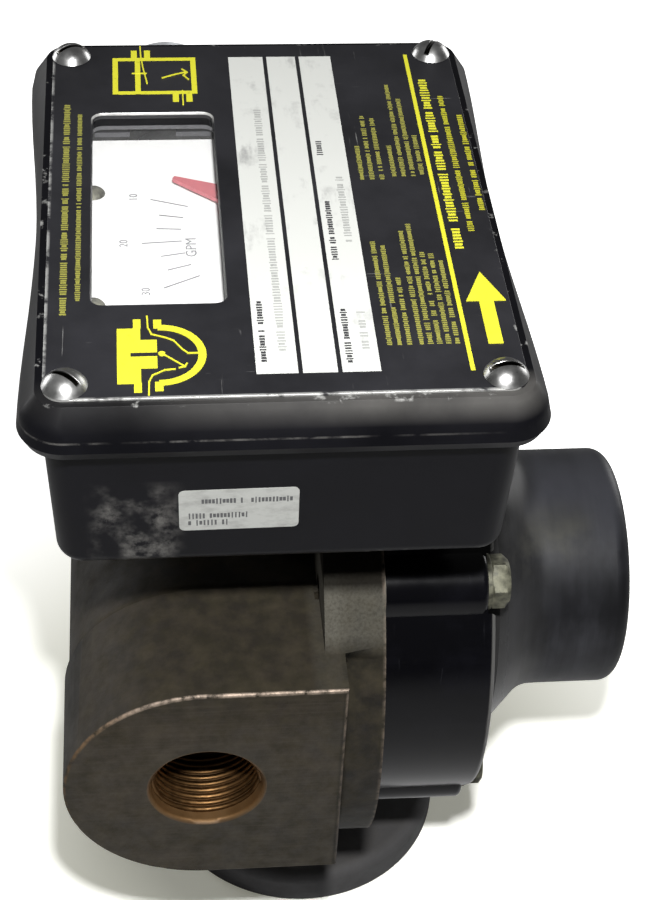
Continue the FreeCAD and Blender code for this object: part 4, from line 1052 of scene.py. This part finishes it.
def hex_bolt():
    """A hex bolt along -Z, its head's seat at the origin and the head's crown rounded off."""
    corner = BOLT_HEAD_AF / math.sqrt(3)
    shank = BOLTS_HIGH.x - BOLTS_LOW.x - BOLT_HEAD_H
    point_h, seat_h, crown_h = 0.8 * MM, 0.5 * MM, 1.1 * MM
    # Each level is a radius, a height and whether it is six-sided.
    levels = ((BOLT_SHANK_R * 0.8, -shank, False), (BOLT_SHANK_R, point_h - shank, False), (BOLT_SHANK_R, 0, False),
              (BOLT_HEAD_AF / 2, 0, False), (corner, seat_h, True), (corner, BOLT_HEAD_H - crown_h, True),
              (BOLT_HEAD_AF * 0.46, BOLT_HEAD_H, False))
    segments = 24
    work = bmesh.new()
    rings = []
    for r, h, six in levels:
        ring = []
        for i in range(segments):
            a = 2 * math.pi * i / segments
            flat = math.cos(math.pi / 6) / math.cos(a % (math.pi / 3) - math.pi / 6)
            reach = r * (flat if six else 1.0)
            ring.append(work.verts.new((reach * math.cos(a), reach * math.sin(a), h)))
        rings.append(ring)
    skin(work, rings)
    work.faces.new(list(reversed(rings[0])))
    work.faces.new(rings[-1])
    return mesh_of(work, "hex_bolt")


class FLOW_OT_cap(bpy.types.Operator):
    """Dresses the spring cap, fills out its neck and sets its four bolts and washers"""
    bl_idname = "flow.cap"
    bl_label = "Spring cap"

    COLLAR = 3.6 * MM
    HOLLOW_R = 8.0 * MM
    NECK_WALL = 1.3 * MM
    NECK_SUNK = 0.5 * MM
    NECK_RUN = 1.0 * MM
    NECK_SLOPE = 45.0
    NECK_STEPS = 8
    NECK_SEGMENTS = 128
    EDGE_ROUNDS = 1.6
    BOLT_TURNS = (8.0, 31.0, -14.0, 22.0)

    def neck(self):
        """A collar that slopes down to the tail and runs out in a hollow curve."""
        foot = self.COLLAR + CAP_CONE_R - CAP_TAIL_R
        end = foot + self.HOLLOW_R * math.tan(math.radians(self.NECK_SLOPE / 2))
        inner = CAP_TAIL_R - self.NECK_WALL
        profile = [(inner, -self.NECK_SUNK), (CAP_CONE_R, -self.NECK_SUNK), (CAP_CONE_R, self.COLLAR)]
        for i in range(self.NECK_STEPS + 1):
            a = math.radians(self.NECK_SLOPE * (1 - i / self.NECK_STEPS))
            profile.append((CAP_TAIL_R + self.HOLLOW_R * (1 - math.cos(a)), end - self.HOLLOW_R * math.sin(a)))
        profile += [(CAP_TAIL_R, end + self.NECK_RUN), (inner, end + self.NECK_RUN)]
        mesh = revolve(profile, self.NECK_SEGMENTS, "cap_neck", ring=True)
        mesh.transform(turned((CAP_SHOULDER_X, 0, INLET.z), 90, "Y"))
        return mesh

    def execute(self, context):
        sizes = context.scene.flow_sizes
        zinc = finish_of("zinc")
        dressed("spring_cap", finish_of("black_plastic"), sizes.edge_round * self.EDGE_ROUNDS)
        place_piece("cap_neck", self.neck(), finish_of("black_plastic"))
        dressed("cap_washers", zinc, WASHER_ROUND)
        half_y = WASHERS_HIGH.y - WASHER_R
        half_z = (WASHERS_HIGH.z - WASHERS_LOW.z) / 2 - WASHER_R
        place = turned((WASHERS_HIGH.x, 0, (WASHERS_HIGH.z + WASHERS_LOW.z) / 2), 90, "Y")
        spread = (2 * half_z, 2 * half_y)
        bolts = instances_mesh("cap_bolt_set", hex_bolt(), 2, 2, spread, self.BOLT_TURNS, place, zinc)
        piece = place_piece("cap_bolt_set", bolts)
        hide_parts("cap_bolts")
        return {"FINISHED"}


class FLOW_OT_spring(bpy.types.Operator):
    """Winds the range spring"""
    bl_idname = "flow.spring"
    bl_label = "Range spring"

    def execute(self, context):
        sizes = context.scene.flow_sizes
        wire = sizes.spring_wire / 2
        low, high = corners("range_spring")
        reach = high.x - low.x
        along = turned((low.x + wire, 0, INLET.z), 90, "Y")
        coil = spiral_mesh("range_coil", (high.z - low.z) / 2 - wire, wire, reach - 2 * wire, sizes.spring_turns,
                           along, finish_of("spring_steel"), sides=12)
        piece = place_piece("range_coil", coil, body=BODY_OF["range_spring"])
        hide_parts("range_spring")
        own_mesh(piece)
        return {"FINISHED"}


def waisted(work):
    """Draws the skirt's long sides in between the corners of the cover."""
    depth, cuts, corner = 0.6, 8, 8.0 * MM
    top_half = PLATE_HIGH.x - BOX_X + PLATE_INSET
    run = COVER_HIGH.y - corner
    for i in range(-cuts, cuts + 1):
        bmesh.ops.bisect_plane(work, geom=work.verts[:] + work.edges[:] + work.faces[:], dist=MERGE / 2,
                               plane_co=(0, run * i / cuts, 0), plane_no=(0, 1, 0))
    for vert in work.verts:
        past = abs(vert.co.x - BOX_X) - top_half
        if past > 0 and abs(vert.co.y) < run:
            share = depth * math.cos(math.pi / 2 * vert.co.y / run) ** 2
            vert.co.x -= math.copysign(past * share, vert.co.x - BOX_X)


class FLOW_OT_box(bpy.types.Operator):
    """Dresses the box, its cover and the conduit hub, and cuts the hub's thread"""
    bl_idname = "flow.box"
    bl_label = "Box"

    CONDUIT_LEAD = 1.2 * MM

    def execute(self, context):
        sizes, tints = context.scene.flow_sizes, context.scene.flow_finishes
        dressed("box_base", box_paint("base_paint", tints, base_wear), sizes.edge_round)
        dressed("box_cover", finish_of("black_paint"), sizes.edge_round, waisted)
        metal = finish_of("aluminium")
        dressed("conduit_hub", metal, sizes.edge_round)
        mouth = CONDUIT - Vector((0, self.CONDUIT_LEAD, 0))
        inward = turned(mouth, 90, "X")
        cut_thread("conduit_thread", CONDUIT_R, inward, metal)
        return {"FINISHED"}


class FLOW_OT_face(bpy.types.Operator):
    """Prints the face: pale fields, a long rule, two diagrams, an arrow and rows of small print"""
    bl_idname = "flow.face"
    bl_label = "Printed face"

    # Places on the face, in mm: fields, rule, and rows of print as (x, y start, y end).
    FIELD_X = (-18.4, -9.8, -2.1, 5.9)
    FIELD_Y = (-57.0, 58.0)
    DIVIDER = 0.9
    RULE_X = 23.9
    SMALL_ROWS = (
        (8.6, 7.5, 20.0), (10.8, 7.5, 32.0), (13.0, 7.5, 31.0),
        (15.8, 8.5, 20.0), (17.9, 8.5, 45.0), (20.0, 8.5, 39.0), (22.0, 8.5, 24.0),
        (8.4, -49.0, -15.5), (10.4, -49.0, -17.0), (12.4, -49.0, -28.0),
        (14.8, -49.0, -12.0), (16.6, -49.0, -9.5), (18.4, -49.0, -19.5), (20.2, -49.0, -20.0), (22.0, -49.0, -22.5),
        (-53.0, -33.0, 34.0),
    )
    PLAIN_ROWS = ((30.0, -12.0, 40.0), (33.4, -4.5, 32.0))
    SIDE_ROWS = ((-55.9, -37.5, 38.0),)
    LARGE_ROWS = ((26.6, -19.0, 47.0),)
    HEADING_ROWS = ((-16.7, -54.0, -35.0), (0.1, -54.0, -38.0), (0.1, -22.0, -1.0), (0.1, 17.0, 22.0))
    STAMPED_ROWS = ((-12.9, -50.0, 35.0), (3.6, -50.0, -37.0), (3.5, -15.0, 8.0))
    # The diagrams, in mm: blocks as (x start, x end, y start, y end), circles as (x, y, radius).
    CHAMBER = (-45.0, -26.8, 43.0, 57.4)
    CHAMBER_WALL_X = -39.8
    CHAMBER_PORTS = ((-40.6, 59.6), (-37.5, 59.6), (-31.2, 40.8), (-28.1, 40.8))
    CHAMBER_PORT_HALF = (0.7, 1.7)
    DOME_BLOCKS = (
        (-45.2, -40.6, -59.0, -51.0), (-45.2, -40.6, -49.8, -42.4), (-45.2, -42.6, -51.4, -49.4),
        (-42.0, -40.5, -61.6, -58.8), (-42.0, -40.5, -42.4, -39.6),
        (-40.8, -37.4, -49.8, -46.0), (-40.8, -37.4, -54.6, -51.0),
    )
    DOME = (-36.9, -50.6, 8.3)
    DOME_STROKES = 1.25
    DOME_PORTS = ((-38.0, -36.4, -61.3, -58.7), (-38.0, -36.4, -42.5, -39.9))
    PIVOT = (-36.5, -50.3, 0.7)
    ARROW_STEM = (28.1, 31.1, -49.5, -36.0)
    ARROW_HEAD = ((25.5, -36.0), (33.7, -36.0), (29.6, -26.5))
    # Thin lines of the two diagrams, in mm.
    FINE_LINES = (
        ((-36.4, -50.3), (-32.1, -54.3)), ((-33.2, -54.6), (-32.1, -54.3), (-31.7, -53.4)),
        ((-39.2, -38.7), (-39.1, -42.3), (-38.4, -44.3), (-35.7, -45.4), (-34.1, -46.4), (-32.6, -48.9),
         (-31.4, -50.3), (-29.5, -50.3)),
        ((-39.2, -62.4), (-39.1, -58.6), (-38.4, -56.7), (-36.0, -55.2), (-34.1, -55.0)),
        ((-39.1, 63.0), (-39.0, 58.7), (-38.6, 54.0), (-37.7, 46.9)), ((-41.0, 51.2), (-37.9, 51.2)),
        ((-34.1, 49.2), (-31.5, 50.5), (-28.7, 51.6)), ((-29.4, 52.8), (-28.3, 51.5), (-29.2, 50.2), (-28.1, 48.5)),
        ((-29.6, 43.6), (-29.6, 37.8)),
    )

    def execute(self, context):
        sizes, tints = context.scene.flow_sizes, context.scene.flow_finishes
        top = FACE_Z + sizes.print_lift
        dressed("face_plate", finish_of("face_print"), PLATE_ROUND)
        fields = bmesh.new()
        gap = self.DIVIDER / 2
        edges = self.FIELD_X
        for i in range(len(edges) - 1):
            left = edges[i] + (gap if i else 0)
            right = edges[i + 1] - (gap if i + 2 < len(edges) else 0)
            slab(fields, [(x * MM, y * MM) for x, y in rectangle(left, right, *self.FIELD_Y)], FACE_Z, top)
        place_piece("face_fields", mesh_of(fields, "face_fields"), pale_field(tints), smooth=False)
        yellow = printed("printed_yellow", tints.yellow)
        place_piece("face_drawing", self.drawing(sizes), yellow, smooth=False)
        black = printed("printed_black", tints.print_black)
        face = Matrix.Translation((0, 0, FACE_Z))
        raised = Matrix.Translation((0, 0, top))
        dull = printed("printed_dull", tints.small_print)
        plain = printed("printed_plain", scaled(tints.yellow, 0.65))
        grey = printed("stamped_grey", tints.stamp)
        # Name, rows, height and pitch of the letters in mm, ground and ink.
        styles = (("small_rows", self.SMALL_ROWS, 1.25, 0.62, face, dull),
                  ("plain_rows", self.PLAIN_ROWS, 1.5, 0.75, face, plain),
                  ("large_rows", self.LARGE_ROWS, 2.3, 1.05, face, yellow),
                  ("heading_rows", self.HEADING_ROWS, 1.5, 0.8, raised, black),
                  ("stamped_rows", self.STAMPED_ROWS, 1.9, 0.9, raised, grey),
                  ("side_rows", self.SIDE_ROWS, 1.7, 0.72, face, dull))
        for seed, (name, rows, tall, pitch, ground, ink) in enumerate(styles):
            mesh = print_rows(name, rows, tall * MM, pitch * MM, seed, ground, ink)
            place_piece(name, mesh, smooth=False)
        return {"FINISHED"}

    def drawing(self, sizes):
        """The rule, a chamber with its ports, a dome with a needle, and a flow arrow."""
        work = bmesh.new()
        layers = itertools.count(1)

        def top():
            """Each stroke ends a hair above the one before it, so that no two faces coincide."""
            return FACE_Z + sizes.print_lift + next(layers) * MERGE

        def line(points, width):
            for a, b in zip(points, points[1:]):
                stripe(work, [v * MM for v in a], [v * MM for v in b], width, FACE_Z, top())

        def fill(*points):
            slab(work, [(x * MM, y * MM) for x, y in points], FACE_Z, top())

        def arc(circle, degrees):
            x, y, r = circle
            return [(x + r * math.cos(a), y + r * math.sin(a)) for a in map(math.radians, degrees)]

        line([(self.RULE_X, y) for y in self.FIELD_Y], sizes.rule_width)
        outline = rectangle(*self.CHAMBER)
        line(outline + outline[:1], sizes.stroke)
        line([(self.CHAMBER_WALL_X, y) for y in self.CHAMBER[2:]], sizes.stroke)
        half_x, half_y = self.CHAMBER_PORT_HALF
        for x, y in self.CHAMBER_PORTS:
            fill(*rectangle(x - half_x, x + half_x, y - half_y, y + half_y))
        for part in self.DOME_BLOCKS:
            fill(*rectangle(*part))
        line(arc(self.DOME, range(-90, 91, 6)), sizes.stroke * self.DOME_STROKES)
        for part in self.DOME_PORTS:
            fill(*rectangle(*part))
        fill(*arc(self.PIVOT, range(-90, 270, 6)))
        for run in self.FINE_LINES:
            line(run, sizes.fine_stroke)
        fill(*rectangle(*self.ARROW_STEM))
        fill(*self.ARROW_HEAD)
        return mesh_of(work, "face_drawing")


class FLOW_OT_window(bpy.types.Operator):
    """Trims the window and prints the dial under it"""
    bl_idname = "flow.window"
    bl_label = "Window and dial"

    # Angles about the spindle in degrees, places and radii in metres.
    NUMERALS = (("10", 161.0), ("20", 183.5), ("30", 206.5))
    NUMERAL_R = 43.8 * MM
    NUMERAL_TURN = 90
    TICK_R = (31.3 * MM, 40.0 * MM)
    TICK_ARC = (160.5, 207.5)
    LONG_TICK = 3
    UNIT = "GPM"
    UNIT_PLACE = (-29.2 * MM, -4.5 * MM)
    UNIT_SCALE = 1.3
    # Depths of the trim's upper edge, bevel and foot below the face.
    TRIM_DEPTHS = (0.02 * MM, 0.5 * MM, 1.4 * MM)

    def execute(self, context):
        sizes, tints = context.scene.flow_sizes, context.scene.flow_finishes
        low = GASKET_LOW + Vector((PANE_LAP, PANE_LAP, 0))
        high = GASKET_HIGH - Vector((PANE_LAP, PANE_LAP, 0))
        place_piece("window_trim", self.trim(low, high, sizes), window_edge(tints))
        paint_node("window_gasket", speckled("grey_gasket", (0.060, 0.060, 0.064), (0.110, 0.110, 0.116), 600.0))
        paint_node("pane_clips", speckled("dark_clips", (0.016, 0.016, 0.020), (0.034, 0.034, 0.040), 600.0))
        paint_node("dial_screws", finish_of("zinc"))
        ink = speckled("dial_ink", scaled(tints.ink, 0.8), scaled(tints.ink, 1.6), 900.0, (0.5, 0.7))
        ticks = tick_fan("dial_ticks", *self.TICK_R, *self.TICK_ARC, sizes.tick_count, self.LONG_TICK, ink)
        place_piece("dial_ticks", ticks, smooth=False)
        work = bmesh.new()
        z = DIAL_Z + sizes.print_lift / 2
        for text, degrees in self.NUMERALS:
            a = math.radians(degrees)
            place = (self.NUMERAL_R * math.cos(a), self.NUMERAL_R * math.sin(a), z)
            lettering(work, text, sizes.numeral, place, self.NUMERAL_TURN)
        lettering(work, self.UNIT, sizes.numeral * self.UNIT_SCALE, (*self.UNIT_PLACE, z), self.NUMERAL_TURN)
        bmesh.ops.remove_doubles(work, verts=work.verts, dist=MERGE)
        place_piece("dial_numerals", mesh_of(work, "dial_numerals"), ink, smooth=False)
        return {"FINISHED"}

    def trim(self, low, high, sizes):
        """A chamfer round the window's edge in the plate."""
        outer = rounded_outline(low, high, WINDOW_R)
        inset = Vector((sizes.trim_width, sizes.trim_width, 0))
        inner = rounded_outline(low + inset, high - inset, WINDOW_R - sizes.trim_width)
        edge, bevel, foot = (FACE_Z - depth for depth in self.TRIM_DEPTHS)
        rings = ((outer, edge), (inner, bevel), (inner, foot), (outer, foot))
        work = bmesh.new()
        skin(work, [[work.verts.new((x, y, z)) for x, y in points] for points, z in rings], closed=True)
        return mesh_of(work, "window_trim")


def screw_head():
    """A slotted round-head screw on the origin, its shank pointing down."""
    widest = math.asin(SCREW_HEAD_R / SCREW_BALL)
    shank_end = -(SCREWS_HIGH.z - SCREWS_LOW.z - SCREW_HEAD_H)
    point_h, under, rim, soft, steps = 1.0 * MM, 0.15 * MM, 0.12 * MM, 0.1 * MM, 10
    profile = [(0, shank_end), (SCREW_SHANK_R * 0.8, shank_end), (SCREW_SHANK_R, shank_end + point_h),
               (SCREW_SHANK_R, 0), (SCREW_HEAD_R - under, 0), (SCREW_HEAD_R, rim)]
    for i in range(1, steps):
        a = widest * (1 - i / steps)
        profile.append((SCREW_BALL * math.sin(a), SCREW_HEAD_H - SCREW_BALL * (1 - math.cos(a))))
    profile.append((0, SCREW_HEAD_H))
    head = helper_object("screw_head", revolve(profile, 48, "screw_head"))
    cutter = bmesh.new()
    slab(cutter, rectangle(-2 * SCREW_HEAD_R, 2 * SCREW_HEAD_R, -SCREW_SLOT / 2, SCREW_SLOT / 2),
         SCREW_HEAD_H / 2, 2 * SCREW_HEAD_H)
    blade = helper_object("screw_blade", mesh_of(cutter, "screw_blade"))
    cut = head.modifiers.new("slot", "BOOLEAN")
    cut.operation = "DIFFERENCE"
    cut.object = blade
    soften(head, soft)
    mesh = evaluated_mesh(head)
    bpy.data.objects.remove(blade)
    return mesh


class FLOW_OT_screws(bpy.types.Operator):
    """Sets the four round-head screws of the cover"""
    bl_idname = "flow.screws"
    bl_label = "Cover screws"

    TURNS = (-35.0, 20.0, 4.0, 62.0)

    def execute(self, context):
        spread = [SCREWS_HIGH[i] - SCREWS_LOW[i] - 2 * SCREW_HEAD_R for i in (0, 1)]
        place = Matrix.Translation((BOX_X, 0, FACE_Z))
        mesh = instances_mesh("cover_screw_set", screw_head(), 2, 2, spread, self.TURNS, place, finish_of("chrome"))
        piece = place_piece("cover_screw_set", mesh)
        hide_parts("cover_screws")
        return {"FINISHED"}


class FLOW_OT_label(bpy.types.Operator):
    """Sticks the plain paper label on the front wall"""
    bl_idname = "flow.label"
    bl_label = "Paper label"

    # Sizes in mm, the lean in degrees; rows of print as (distance down, start, end) from the label's middle.
    CENTRE_X = -21.8
    CENTRE_Z = 177.3
    GLUE = 0.02
    LEAN = 0.6
    CORNER = 1.2
    ROWS = ((-2.6, -8.0, 10.5), (1.6, -10.0, 1.5), (3.6, -10.0, -2.5))
    LETTER = (1.7, 0.7)
    SEED = 3

    def execute(self, context):
        sizes, tints = context.scene.flow_sizes, context.scene.flow_finishes
        lean_back = math.atan2(BASE_DRAFT, BASE_HIGH.z - BASE_LOW.z)
        wall_y = BASE_LOW.y + math.tan(lean_back) * (BASE_HIGH.z - self.CENTRE_Z * MM)
        middle = (self.CENTRE_X * MM, wall_y - self.GLUE * MM, self.CENTRE_Z * MM)
        on_wall = turned(middle, 90 + math.degrees(lean_back), "X") @ turned((0, 0, 0), self.LEAN, "Z")
        half = Vector((sizes.label_width, sizes.label_height, 0)) / 2
        work = bmesh.new()
        slab(work, rounded_outline(-half, half, self.CORNER * MM), 0, sizes.print_lift * 2)
        sheet = mesh_of(work, "paper_label")
        sheet.transform(on_wall)
        place_piece("paper_label", sheet, paper(tints), smooth=False)
        upright = turned((0, 0, sizes.print_lift * 2), -90, "Z")
        tall, pitch = (size * MM for size in self.LETTER)
        ink = printed("label_ink", tints.label_ink)
        rows = print_rows("label_rows", self.ROWS, tall, pitch, self.SEED, on_wall @ upright, ink)
        place_piece("label_rows", rows, smooth=False)
        return {"FINISHED"}


class FLOW_OT_inner(bpy.types.Operator):
    """Gives every solid, inside and outside, the finish of its slot"""
    bl_idname = "flow.inner"
    bl_label = "Inner works"

    def execute(self, context):
        for node in frame["nodes"]:
            paint_node(node, finish_of(SLOT_OF[node]))
        return {"FINISHED"}


def camera_axes(studio):
    """Ahead, right and up of the photograph's camera."""
    h, t, r = (math.radians(a) for a in (studio.heading, studio.tilt, studio.roll))
    ahead = Vector((math.sin(h) * math.cos(t), math.cos(h) * math.cos(t), -math.sin(t)))
    level = Vector((math.cos(h), -math.sin(h), 0))
    down = ahead.cross(level)
    return ahead, math.cos(r) * level + math.sin(r) * down, math.sin(r) * level - math.cos(r) * down


class FLOW_OT_stage(bpy.types.Operator):
    """Sets the floor, the lamps and the camera of the photograph"""
    bl_idname = "flow.stage"
    bl_label = "Studio"

    FLOOR_HALF = 4.0
    FLOOR_SHADE = (0.50, 0.50, 0.50)
    FLOOR_WHITE = (1.00, 1.00, 0.96)
    # Warm tint of the glow near the part: painted light, the yellow of light bounced into the shadows.
    GLOW_NEAR = (1.00, 1.00, 0.76)
    GLOW_FAR = (1.00, 1.00, 1.00)

    def execute(self, context):
        scene = context.scene
        studio = scene.flow_studio
        scene.view_settings.view_transform = "Standard"
        self.floor(studio)
        self.sky(scene, studio)
        ahead, right, up = camera_axes(studio)
        self.camera(scene, studio, ahead, right, up)
        middle = (Vector(CAD_BOX[0]) + Vector(CAD_BOX[1])) / 2
        key_place = Vector(studio.place) + up * studio.key_rise + right * studio.key_shift
        self.lamp("key_lamp", key_place, middle, studio.key_size, studio.key_power)
        for side, name in ((1, "right_back_lamp"), (-1, "left_back_lamp")):
            x, y, z = studio.back_place
            self.lamp(name, Vector((side * x, y, z)), middle, studio.back_size, studio.back_power)
        return {"FINISHED"}

    def floor(self, studio):
        """A white floor: lit under the part, glowing white further out, and grey to what it lights. The glow is
        painted light, weak and warm near the part so that the shadows there show dark and yellowish.
        """
        half = self.FLOOR_HALF
        work = bmesh.new()
        work.faces.new([work.verts.new((x, y, 0)) for x, y in rectangle(-half, half, -half, half)])
        mesh = mesh_of(work, "studio_floor")
        floor = helper_object("studio_floor", mesh)
        f = Finish("pale_floor")
        path = f.node("ShaderNodeLightPath").outputs
        seen = f.any_of(path["Is Camera Ray"], path["Is Transmission Ray"])
        f.set(Base_Color=f.mix(seen, self.FLOOR_SHADE, self.FLOOR_WHITE), Roughness=0.9, Specular_IOR_Level=0.0)
        reach = f.node("ShaderNodeVectorMath", {"operation": "LENGTH"}, Vector=f.place).outputs["Value"]
        glow = f.ramp(reach, studio.glow_from, studio.glow_full, studio.floor_glow, 1.0)
        white = f.node("ShaderNodeEmission", Strength=f.times(seen, glow),
                       Color=f.mix(glow, self.GLOW_NEAR, self.GLOW_FAR))
        added = f.node("ShaderNodeAddShader")
        f.feed(added.inputs[0], f.shader.outputs[0])
        f.feed(added.inputs[1], white.outputs[0])
        f.feed(f.tree.nodes["Material Output"].inputs["Surface"], added.outputs[0])
        mesh.materials.append(f.material)

    def sky(self, scene, studio):
        """Light from all round, white to the camera and dim to everything else."""
        world = bpy.data.worlds.new("studio_world")
        world.use_nodes = True
        t = Tree(world.node_tree)
        seen = t.node("ShaderNodeLightPath").outputs["Is Camera Ray"]
        strength = t.node("ShaderNodeMapRange", Value=seen, To_Min=studio.sky, To_Max=1.0).outputs["Result"]
        soft = world.node_tree.nodes["Background"]
        t.feed(soft.inputs["Color"], (1, 1, 1))
        t.feed(soft.inputs["Strength"], strength)
        scene.world = world

    def camera(self, scene, studio, ahead, right, up):
        data = bpy.data.cameras.new("photo_camera")
        data.lens = studio.lens
        data.sensor_width = 36.0
        camera = helper_object("photo_camera", data)
        columns = (right, up, -ahead, Vector(studio.place))
        camera.matrix_world = Matrix([[*(c[i] for c in columns)] for i in range(3)] + [[0, 0, 0, 1]])
        scene.camera = camera

    def lamp(self, name, place, aim, size, power):
        data = bpy.data.lights.new(name, "AREA")
        data.shape = "DISK"
        data.size = size
        data.energy = power
        lamp = helper_object(name, data)
        lamp.location = place
        lamp.rotation_euler = (aim - place).to_track_quat("-Z", "Y").to_euler()


class FLOW_PT_panel(bpy.types.Panel):
    """Lists the dressing's steps, sizes and colours"""
    bl_idname = "FLOW_PT_panel"
    bl_label = "Flow Monitor"
    bl_space_type = "VIEW_3D"
    bl_region_type = "UI"
    bl_category = "Flow Monitor"

    def draw(self, context):
        for step in STEPS:
            self.layout.operator(step.bl_idname)
        for group in (context.scene.flow_sizes, context.scene.flow_finishes, context.scene.flow_studio):
            column = self.layout.column()
            for key in group.__annotations__:
                column.prop(group, key)


STEPS = (FLOW_OT_inner, FLOW_OT_casting, FLOW_OT_cap, FLOW_OT_spring, FLOW_OT_box, FLOW_OT_face, FLOW_OT_window,
         FLOW_OT_screws, FLOW_OT_label, FLOW_OT_stage)
GROUPS = {"flow_finishes": FlowFinishes, "flow_sizes": FlowSizes, "flow_studio": FlowStudio}


def register():
    for cls in (*GROUPS.values(), *STEPS, FLOW_PT_panel):
        bpy.utils.register_class(cls)
    for key, group in GROUPS.items():
        setattr(bpy.types.Scene, key, PointerProperty(type=group))


def unregister():
    for key in GROUPS:
        delattr(bpy.types.Scene, key)
    for cls in (FLOW_PT_panel, *reversed(STEPS), *GROUPS.values()):
        bpy.utils.unregister_class(cls)


def main():
    register()
    bpy.ops.flow.inner()
    bpy.ops.flow.casting()
    bpy.ops.flow.cap()
    bpy.ops.flow.spring()
    bpy.ops.flow.box()
    bpy.ops.flow.face()
    bpy.ops.flow.window()
    bpy.ops.flow.screws()
    bpy.ops.flow.label()
    bpy.ops.flow.stage()


if __name__ == "__main__":
    main()
